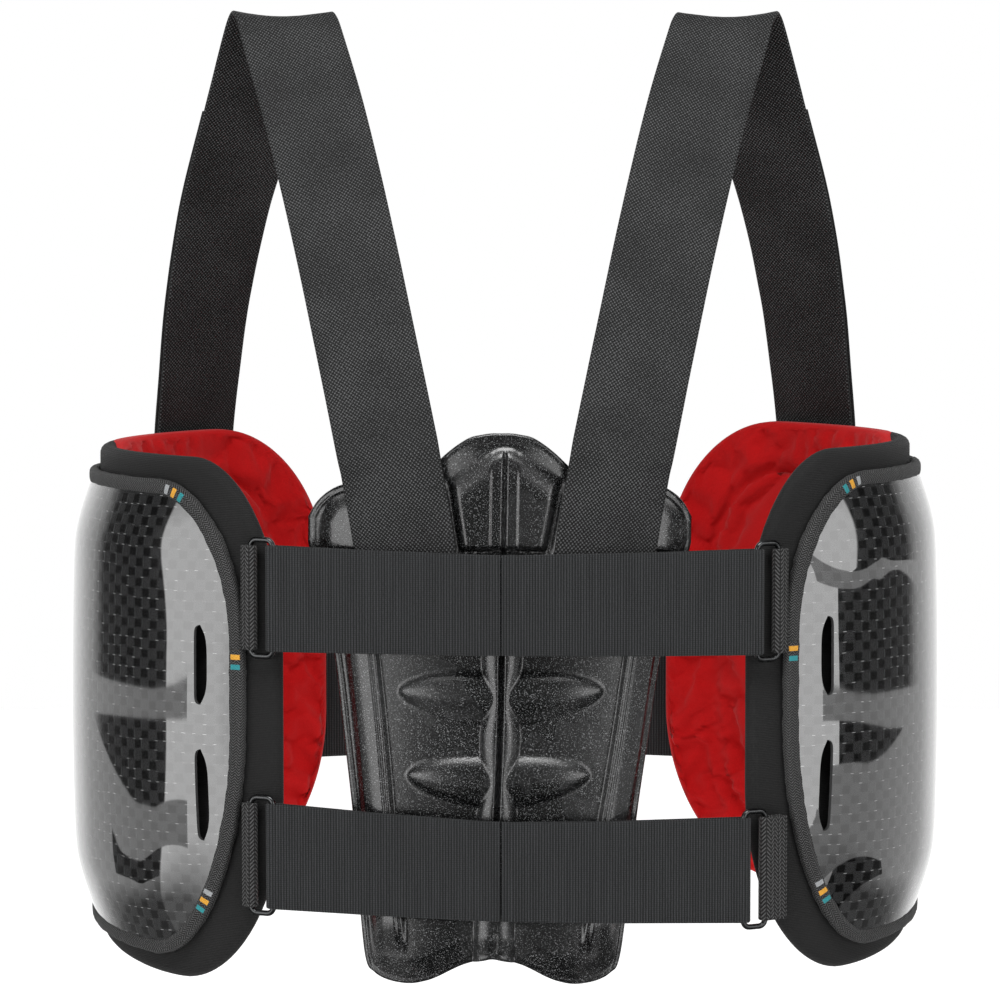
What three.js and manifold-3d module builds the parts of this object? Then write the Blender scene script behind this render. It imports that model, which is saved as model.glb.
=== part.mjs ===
// Rib protector: a moulded back plate, two padded flanks with ribbed shells, belts and shoulder straps.
// Millimetres. The wearer faces +Y, +X is the wearer's right hand side, and +Z is up.
// Everything follows the torso's oval section. A place on it is an arc length from the flank line
// (negative towards the back), a height, and an offset outwards from the skin.

import * as THREE from "three";
import { mergeVertices } from "three/addons/utils/BufferGeometryUtils.js";
import Module from "manifold-3d";

const wasm = await Module();
wasm.setup();

// Torso section that the guard is shaped round
const torsoHalfWidth = 179;
const torsoHalfDepth = 120;

// General clearances and cloth thicknesses
const seatGap = 0.4;
const layerGap = 0.3;
const beltThickness = 1.8;
const webbingThickness = 2.2;

// Flank pads and their lining
const liningThickness = 5.5;
const liningDent = 2;
const liningDentInset = 24;
const liningDentHalfWidth = 6;
const liningSetback = 4;
const liningRimRow = 5;
const padThickness = 8.5;
const padEdgeRound = 2.8;
const padBackEnd = 136.5;
const padFrontEnd = 147;
const padTop = 27.5;
const padBottomBack = 215.5;
const padBottomFront = 200;
const padBottomRunEnd = 12;

// Corner radii of the pads, along the arc and up, in the order back top, back bottom, front top, front bottom
const padCorners = {
  backTop: { along: 46, up: 87 },
  backBottom: { along: 53, up: 89 },
  frontTop: { along: 58, up: 75 },
  frontBottom: { along: 62, up: 85 },
};

// Ribbed shells and the tape that binds them
const shellBackEnd = 121.5;
const shellFrontEnd = 112;
const shellTop = 16.5;
const shellBottomBack = 205;
const shellBottomFront = 196;
const shellBottomRunEnd = 15;
const shellThickness = 2.4;
const shellRise = 9;
const shellShoulder = 30;
const shellRowShares = [0, 0.1, 0.27, 0.53, 1];
const bindingWidth = 7;
const bindingHeight = 4.6;
const bindingCrownShare = 0.78;
const bindingFlatShare = 0.25;
const shellCorners = {
  backTop: { along: 45, up: 75 },
  backBottom: { along: 47.5, up: 110 },
  frontTop: { along: 45, up: 75 },
  frontBottom: { along: 47.5, up: 100 },
};
const slotFromEdge = 17.9;
const slotWidth = 6;
const slotPlugDepth = 34;

// Ends of the slots, as shares of the way down to the shell's bottom
const slots = [
  { top: 0.236, bottom: 0.4156 },
  { top: 0.516, bottom: 0.7244 },
];

// Small differences between the two flanks: slide along the arc towards the front, and lift
const flanks = {
  left: { side: -1, slide: 0, lift: 0 },
  right: { side: 1, slide: 9, lift: 3.5 },
};

// Back plate
const plateStandOff = 1;
const plateFloor = 6.5;
const plateRim = 3;
const plateRimWidth = 5;
const plateShiftX = -2.5;
const plateLean = 0.017;
const plateHalfWidth = 87.5;
const plateTop = 41;
const plateBottom = 211.5;

// Outline of the plate, half of it, from the middle outwards: how far out, and where the edge lies.
// Out is a share of the half width, top a share of the top height, bottom a share of the bottom depth.
const plateColumns = [
  { out: 0, top: 1, bottom: 0.941 },
  { out: 0.05, top: 1, bottom: 0.945 },
  { out: 0.1, top: 0.985, bottom: 0.95 },
  { out: 0.16, top: 0.955, bottom: 0.958 },
  { out: 0.22, top: 0.88, bottom: 0.97 },
  { out: 0.28, top: 0.78, bottom: 0.983 },
  { out: 0.34, top: 0.66, bottom: 0.993 },
  { out: 0.42, top: 0.5, bottom: 1 },
  { out: 0.5, top: 0.42, bottom: 0.998 },
  { out: 0.57, top: 0.42, bottom: 0.99 },
  { out: 0.62, top: 0.43, bottom: 0.977 },
  { out: 0.66, top: 0.44, bottom: 0.955 },
  { out: 0.69, top: 0.445, bottom: 0.87 },
  { out: 0.74, top: 0.445, bottom: 0.645 },
  { out: 0.79, top: 0.43, bottom: 0.48 },
  { out: 0.85, top: 0.39, bottom: 0.29 },
  { out: 0.91, top: 0.31, bottom: 0.195 },
  { out: 0.96, top: 0.2, bottom: 0.12 },
  { out: 1, top: 0.05, bottom: 0.045 },
];
const plateRows = 26;

// Raised forms on the plate
const domeRise = 4.5;
const domes = [
  { out: 25.5, height: -80, halfWidth: 21, halfHeight: 12.5 },
  { out: 22.5, height: -118, halfWidth: 17.5, halfHeight: 12.5 },
];
const railRise = 4;
const railHalfWidth = 7;
const railHead = -37;
const railFoot = -196;
const railFade = 16;
const railTop = { out: 62.5, height: -61 };
const railBottom = { out: 53.7, height: -135 };
const spineRise = 5;
const spineHalfWidth = 8;
const spineGroove = 2;
const spineGrooveHalfWidth = 3;
const hoodRise = 5.5;
const hoodApex = 34;
const hoodShoulder = { out: 22, height: 19 };
const hoodFoot = { out: 19, height: -12 };
const reliefBlend = 3.5;

// Belts and rings
const upperBeltDrop = 36;
const lowerBeltDrop = 157.5;
const beltWidth = 45.5;
const beltSpread = 1.5;
const beltCentreX = -2;
const beltCentreGap = 0.6;
const beltEase = 1.3;
const ringWire = 2.6;
const ringWidth = 14;
const ringHeight = 56;
const ringCorner = 4.5;
const ringTabWidth = 48;
const ringTabThickness = 1.5;
const ringTabEndRise = 2.6;

// Tilt is how much higher the ring's end is than the middle of the back, as a share of the belt's width.
// Beside is how far the ring's middle stands from the shell's edge, as a share of the ring's width.
// Knee is where the belt bends over the plate's rail, as a share of the plate's half width.
const belts = [
  { name: "upper", side: "left", drop: upperBeltDrop, tilt: 0.026, beside: 0.65, knee: 0.731 },
  { name: "upper", side: "right", drop: upperBeltDrop, tilt: -0.018, beside: 0.65, knee: 0.731 },
  { name: "lower", side: "left", drop: lowerBeltDrop, tilt: 0.092, beside: 0.636, knee: 0.594 },
  { name: "lower", side: "right", drop: lowerBeltDrop, tilt: -0.053, beside: 1.071, knee: 0.594 },
];

// Front closing belt
const frontBeltTop = -46;
const frontBeltBottom = -140.5;
const frontBeltThickness = 3;
const frontBeltOverlap = 26;

// Shoulder straps, from the plate over the crest and down to the pad
const strapWidth = 47;
const strapThickness = webbingThickness;
const crestHeight = 230;
const crestOut = 105;
const crestBack = 8;
const crestBend = { out: 2.5, depth: 6.3, drop: 2.4 };
const tailThickness = 2;
const strapFootArc = 84;
const strapFootSeam = 9.5;
const strapOnPlate = [
  { out: 44.3, height: -34 },
  { out: 45.5, height: -12 },
  { out: 51.2, height: 22 },
];

// Sections of the free runs: shares of the way from the plate to the crest, and from the crest to the pad,
// upwards or downwards, sideways and forwards, with the yaw of the band in degrees
const backRun = [
  { rise: 0.09, out: 0.07, forward: 0.04, turn: 11 },
  { rise: 0.326, out: 0.268, forward: 0.209, turn: 13 },
  { rise: 0.558, out: 0.473, forward: 0.421, turn: 12 },
  { rise: 0.781, out: 0.696, forward: 0.668, turn: 8 },
  { rise: 0.945, out: 0.893, forward: 0.875, turn: 3 },
];
const chestRun = [
  { drop: 0.061, out: 0.135, forward: 0.144, turn: -8 },
  { drop: 0.237, out: 0.365, forward: 0.361, turn: -17 },
  { drop: 0.448, out: 0.635, forward: 0.598, turn: -27 },
  { drop: 0.669, out: 0.827, forward: 0.784, turn: -35 },
  { drop: 0.875, out: 0.942, forward: 0.928, turn: -40 },
];
const tailFirstRow = 1;

// Fineness of the facets
const cornerSteps = 5;
const flankStep = 11.5;
const shortSpanSpare = 2.4;
const loopSteps = 6;
const frontBeltSteps = 18;
const slotCurveSegments = 5;
const ringCurveSegments = 3;
const mergeTolerance = 1e-4;

const colours = {
  plate: { color: 0x18191a, roughness: 0.42, metalness: 0 },
  belt: { color: 0x343638, roughness: 0.9, metalness: 0 },
  webbing: { color: 0x1c1c1d, roughness: 0.85, metalness: 0 },
  ring: { color: 0x4a4b4e, roughness: 0.35, metalness: 0.9 },
  foam: { color: 0x161617, roughness: 0.92, metalness: 0 },
  lining: { color: 0xa80f12, roughness: 0.9, metalness: 0 },
  shell: { color: 0x26282a, roughness: 0.16, metalness: 0.1 },
  tape: { color: 0x222324, roughness: 0.85, metalness: 0 },
};

const up = new THREE.Vector3(0, 0, 1);

// Torso section: arc length against angle, tabulated once
const sectionSteps = 1440;
const sectionAngles = [];
const sectionArcs = [];
(function tabulateSection() {
  let arc = 0;
  const from = -Math.PI;
  const step = (2 * Math.PI) / sectionSteps;
  for (let i = 0; i <= sectionSteps; i += 1) {
    sectionAngles.push(from + i * step);
    sectionArcs.push(arc);
    const middle = from + (i + 0.5) * step;
    arc += step * Math.hypot(torsoHalfWidth * Math.sin(middle), torsoHalfDepth * Math.cos(middle));
  }
  const atFlank = sectionArcs[sectionSteps / 2];
  for (let i = 0; i <= sectionSteps; i += 1) {
    sectionArcs[i] -= atFlank;
  }
})();
const quarterArc = sectionArcs[(sectionSteps * 3) / 4];

function angleAt(arc) {
  let low = 0;
  let high = sectionSteps;
  while (high - low > 1) {
    const middle = (low + high) >> 1;
    if (sectionArcs[middle] > arc) {
      high = middle;
    } else {
      low = middle;
    }
  }
  const share = (arc - sectionArcs[low]) / (sectionArcs[high] - sectionArcs[low]);
  return sectionAngles[low] + share * (sectionAngles[high] - sectionAngles[low]);
}

// The point at an arc length and an offset from the skin, on the side +1 or -1
function onTorso(side, arc, offset, height) {
  const angle = angleAt(arc);
  const normal = new THREE.Vector2(Math.cos(angle) / torsoHalfWidth, Math.sin(angle) / torsoHalfDepth);
  normal.normalize();
  const x = torsoHalfWidth * Math.cos(angle) + normal.x * offset;
  const y = torsoHalfDepth * Math.sin(angle) + normal.y * offset;
  return new THREE.Vector3(side * x, y, height);
}

function torsoNormal(side, arc) {
  const angle = angleAt(arc);
  return new THREE.Vector3(
    side * Math.cos(angle) / torsoHalfWidth, Math.sin(angle) / torsoHalfDepth, 0,
  ).normalize();
}

// How deep the skin lies behind the flank line at a place out from the middle, and its slope there
function skinDepth(x) {
  return torsoHalfDepth * Math.sqrt(Math.max(0, 1 - (x / torsoHalfWidth) ** 2));
}

function skinSlope(x) {
  return ((torsoHalfDepth / torsoHalfWidth) ** 2 * x) / skinDepth(x);
}

function plateFace(x) {
  return skinDepth(x) + plateStandOff + plateFloor;
}

function geometryFrom(points, triangles) {
  const positions = new Float32Array(points.flatMap((point) => [point.x, point.y, point.z]));
  const geometry = new THREE.BufferGeometry();
  geometry.setAttribute("position", new THREE.BufferAttribute(positions, 3));
  geometry.setIndex(triangles);
  if (signedVolume(points, triangles) < 0) {
    const flipped = [];
    for (let i = 0; i < triangles.length; i += 3) {
      flipped.push(triangles[i], triangles[i + 2], triangles[i + 1]);
    }
    geometry.setIndex(flipped);
  }
  return geometry;
}

function signedVolume(points, triangles) {
  let volume = 0;
  for (let i = 0; i < triangles.length; i += 3) {
    const [a, b, c] = [points[triangles[i]], points[triangles[i + 1]], points[triangles[i + 2]]];
    volume += a.dot(new THREE.Vector3().crossVectors(b, c)) / 6;
  }
  return volume;
}

// A solid through rings of equally many points, closed on itself or capped at its ends.
// The split is how many of a ring's points lie on its first face.
function skinRings(rings, { closed = false, split = rings[0].length / 2 } = {}) {
  const size = rings[0].length;
  const points = rings.flat();
  const triangles = [];
  const spans = closed ? rings.length : rings.length - 1;
  for (let i = 0; i < spans; i += 1) {
    const here = i * size;
    const next = ((i + 1) % rings.length) * size;
    for (let j = 0; j < size; j += 1) {
      const k = (j + 1) % size;
      const falling = points[here + j].distanceTo(points[next + k]);
      const rising = points[here + k].distanceTo(points[next + j]);
      if (falling <= rising) {
        triangles.push(here + j, next + j, next + k, here + j, next + k, here + k);
      } else {
        triangles.push(here + j, next + j, here + k, next + j, next + k, here + k);
      }
    }
  }
  if (!closed) {
    const last = (rings.length - 1) * size;
    triangles.push(...capTriangles(rings[0], split, 0, false));
    triangles.push(...capTriangles(rings[rings.length - 1], split, last, true));
  }
  return geometryFrom(points, triangles);
}

// A cap as a strip between the ring's first points, up to the split, and the rest
function capTriangles(ring, split, first, reversed) {
  const faces = [];
  let low = 0;
  let high = ring.length - 1;
  while (high - low > 1) {
    const canClimb = low + 1 < split;
    const canFall = high > split;
    const climb = ring[low + 1].distanceTo(ring[high]) <= ring[low].distanceTo(ring[high - 1]);
    if (canClimb && (climb || !canFall)) {
      faces.push([low, low + 1, high]);
      low += 1;
    } else {
      faces.push([low, high - 1, high]);
      high -= 1;
    }
  }
  return faces.flatMap(([p, q, r]) => {
    const turned = reversed ? [p, r, q] : [p, q, r];
    return turned.map((corner) => first + corner);
  });
}

function toManifold(geometry) {
  const plain = new THREE.BufferGeometry();
  plain.setAttribute("position", geometry.getAttribute("position").clone());
  if (geometry.index) {
    plain.setIndex(geometry.index.clone());
  }
  const merged = mergeVertices(plain, mergeTolerance);
  return new wasm.Manifold(new wasm.Mesh({
    numProp: 3,
    vertProperties: new Float32Array(merged.getAttribute("position").array),
    triVerts: new Uint32Array(merged.index.array),
  }));
}

function fromManifold(solid) {
  const mesh = solid.getMesh();
  const geometry = new THREE.BufferGeometry();
  geometry.setAttribute("position", new THREE.BufferAttribute(new Float32Array(mesh.vertProperties), 3));
  geometry.setIndex(Array.from(mesh.triVerts));
  return geometry;
}

function smooth(share) {
  const t = Math.min(1, Math.max(0, share));
  return t * t * (3 - 2 * t);
}

// Quarter round: 0 at the edge, 1 from the given distance inwards
function roundRise(distance, radius) {
  const t = Math.min(1, Math.max(0, distance / radius));
  return Math.sqrt(1 - (1 - t) * (1 - t));
}

// Outline of a flank piece: its top and bottom heights at each arc length, with oval corners
function flankOutline(form, inset) {
  const back = -(form.backEnd - inset);
  const front = form.frontEnd - inset;
  const top = form.top - inset;
  const bottomAt = (arc) => {
    const fromCorner = arc + form.backEnd - form.corners.backBottom.along;
    const run = smooth(fromCorner / (form.backEnd - form.bottomRunEnd));
    return -(form.bottomBack + (form.bottomFront - form.bottomBack) * run) + inset;
  };
  const drop = (arc, corner, end) => {
    const along = corner.along - inset;
    const depth = Math.max(0, along - Math.abs(end - arc));
    return (corner.up - inset) * (1 - Math.sqrt(Math.max(0, 1 - (depth / along) ** 2)));
  };
  const topAt = (arc) =>
    top - drop(arc, form.corners.backTop, back) - drop(arc, form.corners.frontTop, front);
  const lowAt = (arc) =>
    bottomAt(arc) + drop(arc, form.corners.backBottom, back) + drop(arc, form.corners.frontBottom, front);
  return { back, front, topAt, lowAt };
}

// Arc stations of a flank piece: crowded into its round corners, and even between them
function flankStations(outline, cornerLength, cornerSteps, middleStep) {
  const stations = [];
  for (let i = 0; i < cornerSteps; i += 1) {
    stations.push(outline.back + cornerLength * (1 - Math.cos((i * Math.PI) / 2 / cornerSteps)));
  }
  const from = outline.back + cornerLength;
  const to = outline.front - cornerLength;
  const count = Math.ceil((to - from) / middleStep);
  for (let i = 0; i < count; i += 1) {
    stations.push(from + ((to - from) * i) / count);
  }
  for (let i = cornerSteps; i >= 0; i -= 1) {
    stations.push(outline.front - cornerLength * (1 - Math.cos((i * Math.PI) / 2 / cornerSteps)));
  }
  return stations;
}

// Heights of the rows across a span: insets from its low edge and the same from its high edge,
// drawn together where the span is short
function rowHeights(insets, span) {
  const deepest = insets[insets.length - 1];
  const scale = Math.min(1, span / (shortSpanSpare * deepest));
  const low = insets.map((inset) => inset * scale);
  return [...low, ...low.map((inset) => span - inset).reverse()];
}

const padForm = {
  backEnd: padBackEnd,
  frontEnd: padFrontEnd,
  top: padTop,
  bottomBack: padBottomBack,
  bottomFront: padBottomFront,
  bottomRunEnd: padBottomRunEnd,
  corners: padCorners,
};
const shellForm = {
  backEnd: shellBackEnd,
  frontEnd: shellFrontEnd,
  top: shellTop,
  bottomBack: shellBottomBack,
  bottomFront: shellBottomFront,
  bottomRunEnd: shellBottomRunEnd,
  corners: shellCorners,
};

const liningRows = [
  0,
  liningRimRow,
  liningDentInset - liningDentHalfWidth,
  liningDentInset,
  liningDentInset + liningDentHalfWidth,
];
const shellRows = shellRowShares.map((share) => share * shellShoulder);
const padInner = liningThickness + layerGap;
const padOuter = padInner + padThickness;
const shellInner = padOuter + seatGap;

// The points of a section at an arc length, from their heights and offsets
function flankRing(flank, arc, section) {
  return section.map(([z, offset]) => onTorso(flank.side, arc + flank.slide, offset, z + flank.lift));
}

// One pad: a layer of even thickness with a rounded rim
function padGeometry(flank) {
  const outline = flankOutline(padForm, 0);
  const stations = flankStations(outline, padCorners.backTop.along, cornerSteps, flankStep);
  const rings = stations.map((arc) => {
    const reach = Math.min(arc - outline.back, outline.front - arc);
    const lost = padEdgeRound * (1 - roundRise(reach, padEdgeRound));
    const [low, high] = [outline.lowAt(arc), outline.topAt(arc)];
    const corners = [
      [low, padInner + padEdgeRound], [low + padEdgeRound, padInner + lost],
      [high - padEdgeRound, padInner + lost], [high, padInner + padEdgeRound],
      [high, padOuter - padEdgeRound], [high - padEdgeRound, padOuter - lost],
      [low + padEdgeRound, padOuter - lost], [low, padOuter - padEdgeRound],
    ];
    return flankRing(flank, arc, corners);
  });
  return skinRings(rings);
}

// One lining: puffed, with a quilted dent that follows its edge
function liningGeometry(flank) {
  const outline = flankOutline(padForm, liningSetback);
  const stations = flankStations(outline, padCorners.backTop.along, cornerSteps, flankStep);
  const puffAt = (distance) => {
    const rim = roundRise(distance, liningDentInset / 2);
    const dent = Math.max(0, 1 - Math.abs(distance - liningDentInset) / liningDentHalfWidth);
    return (liningThickness - 1) * (1 - rim) + liningDent * dent * dent * (3 - 2 * dent);
  };
  const rings = stations.map((arc) => {
    const reach = Math.min(arc - outline.back, outline.front - arc);
    const [low, high] = [outline.lowAt(arc), outline.topAt(arc)];
    const span = high - low;
    const inner = rowHeights(liningRows, span).map((row) => {
      const distance = Math.min(row, span - row, reach);
      return [low + row, puffAt(Math.max(0, distance))];
    });
    const outer = [[high, liningThickness], [low, liningThickness]];
    return flankRing(flank, arc, [...inner, ...outer]);
  });
  return skinRings(rings, { split: rings[0].length - 2 });
}

// How far the shell stands up at a distance from its edge
function shellBulge(distance) {
  return shellRise * roundRise(Math.max(0, distance), shellShoulder);
}

// One shell: a thin plate that rises from its edge to a broad raised face, with two slots
function shellGeometry(flank) {
  const inset = bindingWidth + layerGap;
  const outline = flankOutline(shellForm, inset);
  const stations = flankStations(outline, shellCorners.backTop.along - inset, cornerSteps, flankStep);
  const rings = stations.map((arc) => {
    const reach = Math.min(arc - outline.back, outline.front - arc);
    const [low, high] = [outline.lowAt(arc), outline.topAt(arc)];
    const span = high - low;
    const inner = rowHeights(shellRows, span).map((row) => {
      const distance = Math.min(row, span - row, reach);
      return [low + row, shellInner + shellBulge(distance)];
    });
    const outer = inner.map(([z, offset]) => [z, offset + shellThickness]).reverse();
    return flankRing(flank, arc, [...inner, ...outer]);
  });
  const plugs = slots.map((slot) => toManifold(slotGeometry(flank, slot)));
  const cut = plugs.reduce((solid, plug) => solid.subtract(plug), toManifold(skinRings(rings)));
  return fromManifold(cut);
}

// The plug that cuts one slot: a long hole with round ends, square to the shell
function slotGeometry(flank, slot) {
  const arc = -shellBackEnd + slotFromEdge + flank.slide;
  const radius = slotWidth / 2;
  const top = flank.lift - slot.top * shellBottomBack;
  const bottom = flank.lift - slot.bottom * shellBottomBack;
  const shape = new THREE.Shape();
  shape.absarc(0, top - radius, radius, 0, Math.PI, false);
  shape.absarc(0, bottom + radius, radius, Math.PI, 2 * Math.PI, false);
  const plug = new THREE.ExtrudeGeometry(shape, {
    depth: slotPlugDepth, bevelEnabled: false, curveSegments: slotCurveSegments,
  });
  const normal = torsoNormal(flank.side, arc);
  const along = new THREE.Vector3().crossVectors(up, normal);
  const foot = onTorso(flank.side, arc, padOuter - shellThickness, 0);
  plug.applyMatrix4(new THREE.Matrix4().makeBasis(along, up, normal).setPosition(foot));
  return plug;
}

// The tape round a shell: a band between the shell form's outline and the same outline set in
function bindingGeometry(flank) {
  const outer = outlineLoop(0);
  const inner = outlineLoop(bindingWidth);
  const crown = bindingHeight * bindingCrownShare;
  const rings = outer.map((rim, i) => {
    const lip = inner[i];
    const section = [
      [rim, 0], [rim, crown], [rim.clone().lerp(lip, bindingFlatShare), bindingHeight],
      [rim.clone().lerp(lip, 1 - bindingFlatShare), bindingHeight], [lip, crown], [lip, 0],
    ];
    return section.map(([spot, rise]) =>
      onTorso(flank.side, spot.x + flank.slide, shellInner + rise, spot.y + flank.lift),
    );
  });
  return skinRings(rings, { closed: true });
}

// The shell form's outline as a loop of arc lengths and heights
function outlineLoop(inset) {
  const outline = flankOutline(shellForm, inset);
  const stations = flankStations(outline, shellCorners.backTop.along - inset, cornerSteps, flankStep);
  const top = stations.map((arc) => new THREE.Vector2(arc, outline.topAt(arc)));
  const bottom = stations.map((arc) => new THREE.Vector2(arc, outline.lowAt(arc))).reverse();
  return [...top, ...bottom];
}

// A band of even thickness that stands on edge along a plan path, with its own height limits at each point
function standingBand(path, thickness) {
  const rings = path.map((point, i) => {
    const before = path[Math.max(0, i - 1)];
    const after = path[Math.min(path.length - 1, i + 1)];
    const into = new THREE.Vector2(point.x - before.x, point.y - before.y);
    const out = new THREE.Vector2(after.x - point.x, after.y - point.y);
    if (i === 0) {
      into.copy(out);
    }
    if (i === path.length - 1) {
      out.copy(into);
    }
    into.normalize();
    out.normalize();
    const along = into.clone().add(out).normalize();
    const reach = thickness / 2 / Math.max(0.5, along.dot(out));
    const across = new THREE.Vector2(-along.y, along.x).multiplyScalar(reach);
    return [
      new THREE.Vector3(point.x - across.x, point.y - across.y, point.low),
      new THREE.Vector3(point.x + across.x, point.y + across.y, point.low),
      new THREE.Vector3(point.x + across.x, point.y + across.y, point.high),
      new THREE.Vector3(point.x - across.x, point.y - across.y, point.high),
    ];
  });
  return skinRings(rings);
}

const ringOffset = padOuter + seatGap + beltThickness + layerGap + ringWire / 2;

// Where a ring stands: its middle, the direction along the belt to the back plate, and the outward normal
function ringPlace(belt) {
  const flank = flanks[belt.side];
  const arc = flank.slide - shellBackEnd - belt.beside * ringWidth;
  const normal = torsoNormal(flank.side, arc);
  const inward = new THREE.Vector3().crossVectors(normal, up).multiplyScalar(flank.side);
  const middle = onTorso(flank.side, arc, ringOffset, belt.tilt * beltWidth - belt.drop);
  return { flank, middle, normal, inward };
}

function ringGeometry(belt) {
  const { middle, normal, inward } = ringPlace(belt);
  const bevel = ringWire / 3;
  const setIn = (inset) =>
    roundedRectangle(ringWidth - 2 * inset, ringHeight - 2 * inset, ringCorner - inset);
  const outer = setIn(bevel);
  outer.holes.push(setIn(ringWire - bevel));
  const ring = new THREE.ExtrudeGeometry(outer, {
    depth: ringWire - 2 * bevel,
    bevelEnabled: true,
    bevelThickness: bevel,
    bevelSize: bevel,
    bevelSegments: 1,
    curveSegments: ringCurveSegments,
  });
  ring.translate(0, 0, -ringWire / 2 + bevel);
  const upward = new THREE.Vector3().crossVectors(normal, inward);
  ring.applyMatrix4(new THREE.Matrix4().makeBasis(inward, upward, normal).setPosition(middle));
  return ring;
}

function roundedRectangle(width, height, radius) {
  const shape = new THREE.Shape();
  const [x, y] = [width / 2 - radius, height / 2 - radius];
  shape.absarc(x, y, radius, 0, Math.PI / 2, false);
  shape.absarc(-x, y, radius, Math.PI / 2, Math.PI, false);
  shape.absarc(-x, -y, radius, Math.PI, Math.PI * 1.5, false);
  shape.absarc(x, -y, radius, Math.PI * 1.5, Math.PI * 2, false);
  return shape;
}

// A half circle of plan points round a bar, from one side to the other
function loopRound(centre, start, radius, turnSign) {
  const points = [];
  for (let i = 0; i <= loopSteps; i += 1) {
    const angle = start + (turnSign * Math.PI * i) / loopSteps;
    points.push(new THREE.Vector2(centre.x + radius * Math.cos(angle), centre.y + radius * Math.sin(angle)));
  }
  return points;
}

// One belt half: out over the plate's rail, round the ring's inner bar, and back on top of itself
function beltGeometry(belt) {
  const { flank, middle, normal, inward } = ringPlace(belt);
  const bar = middle.clone().addScaledVector(inward, (ringWidth - ringWire) / 2);
  const centreX = beltCentreX + (flank.side * beltCentreGap) / 2;
  const plateX = plateShiftX - plateLean * belt.drop;
  const shoulderX = plateX + flank.side * spineHalfWidth;
  const kneeX = plateX + flank.side * belt.knee * plateHalfWidth;
  const layer = (x, rise, count) => {
    const offset = beltEase + beltThickness * (count + 0.5) + layerGap * count;
    return new THREE.Vector2(x, -(plateFace(x) + rise + offset));
  };
  const start = Math.atan2(-normal.y, -normal.x);
  const radius = ringWire / 2 + layerGap + beltThickness / 2;
  const loop = loopRound(bar, start, radius, -flank.side);
  const plan = [
    layer(centreX, spineRise, 0), layer(shoulderX, spineRise, 0), layer(kneeX, railRise, 0), ...loop,
    layer(kneeX, railRise, 1), layer(shoulderX, spineRise, 1), layer(centreX, spineRise, 1),
  ];
  const reach = Math.abs(bar.x - centreX);
  const path = plan.map((point) => {
    const share = Math.abs(point.x - centreX) / reach;
    const level = belt.tilt * beltWidth * share - belt.drop;
    const half = beltWidth / 2 + beltSpread * Math.min(1, share);
    return { x: point.x, y: point.y, low: level - half, high: level + half };
  });
  return standingBand(path, beltThickness);
}

// One webbing tab: from the binding's edge under the ring's outer bar, round it and down to the edge again
function ringTabGeometry(belt) {
  const { flank, middle, normal, inward } = ringPlace(belt);
  const bar = middle.clone().addScaledVector(inward, (ringWire - ringWidth) / 2);
  const start = Math.atan2(-normal.y, -normal.x);
  const radius = ringWire / 2 + layerGap + ringTabThickness / 2;
  const loop = loopRound(bar, start, radius, flank.side);
  const edgeArc = flank.slide - shellBackEnd - seatGap;
  const seat = padOuter + seatGap + ringTabThickness / 2;
  const under = onTorso(flank.side, edgeArc, seat, 0);
  const over = onTorso(flank.side, edgeArc, seat + ringTabThickness + ringTabEndRise, 0);
  const plan = [under, ...loop, over];
  const low = middle.z - ringTabWidth / 2;
  const high = middle.z + ringTabWidth / 2;
  const path = plan.map((point) => ({ x: point.x, y: point.y, low, high }));
  return standingBand(path, ringTabThickness);
}

// The closing belt across the front, on the pads' outer faces
function frontBeltGeometry() {
  const offset = padOuter + seatGap + frontBeltThickness / 2;
  const from = padFrontEnd - frontBeltOverlap;
  const leftStart = from + flanks.left.slide;
  const rightEnd = 2 * quarterArc - from - flanks.right.slide;
  const path = [];
  for (let i = 0; i <= frontBeltSteps; i += 1) {
    const spot = onTorso(-1, leftStart + ((rightEnd - leftStart) * i) / frontBeltSteps, offset, 0);
    path.push({ x: spot.x, y: spot.y, low: frontBeltBottom, high: frontBeltTop });
  }
  return standingBand(path, frontBeltThickness);
}

// The straps' sections, with the middle of the band and its yaw: on the plate, free, and on the pad
function strapSections(flank) {
  const plateRow = ({ out, height }) => ({
    out,
    y: -(plateFace(out) + seatGap + strapThickness / 2),
    z: height,
    turn: THREE.MathUtils.radToDeg(Math.atan(skinSlope(out))),
  });
  const padRow = (height) => {
    const spot = onTorso(1, strapFootArc, padOuter + seatGap + strapThickness / 2, height + flank.lift);
    const normal = torsoNormal(1, strapFootArc);
    const turn = -THREE.MathUtils.radToDeg(Math.atan2(normal.x, normal.y));
    return { out: spot.x, y: spot.y, z: spot.z, turn };
  };
  const crest = { out: crestOut, y: -crestBack, z: crestHeight - strapThickness / 2, turn: 0 };
  const plateRows = strapOnPlate.map(plateRow);
  const plateEnd = plateRows[plateRows.length - 1];
  const footTop = padRow(padTop);
  const between = (from, to, row, climb) => ({
    out: from.out + (to.out - from.out) * row.out,
    y: from.y + (to.y - from.y) * row.forward,
    z: from.z + (to.z - from.z) * climb,
    turn: row.turn,
  });
  const bend = (sign) => ({
    out: crest.out + sign * crestBend.out,
    y: crest.y + sign * crestBend.depth,
    z: crest.z - crestBend.drop,
    turn: 0,
  });
  const climb = backRun.map((row) => between(plateEnd, crest, row, row.rise));
  const fall = chestRun.map((row) => between(crest, footTop, row, row.drop));
  return {
    back: [...plateRows, ...climb, bend(-1), crest, bend(1)],
    chest: [...fall, footTop, padRow(padTop - strapFootSeam)],
  };
}

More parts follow.
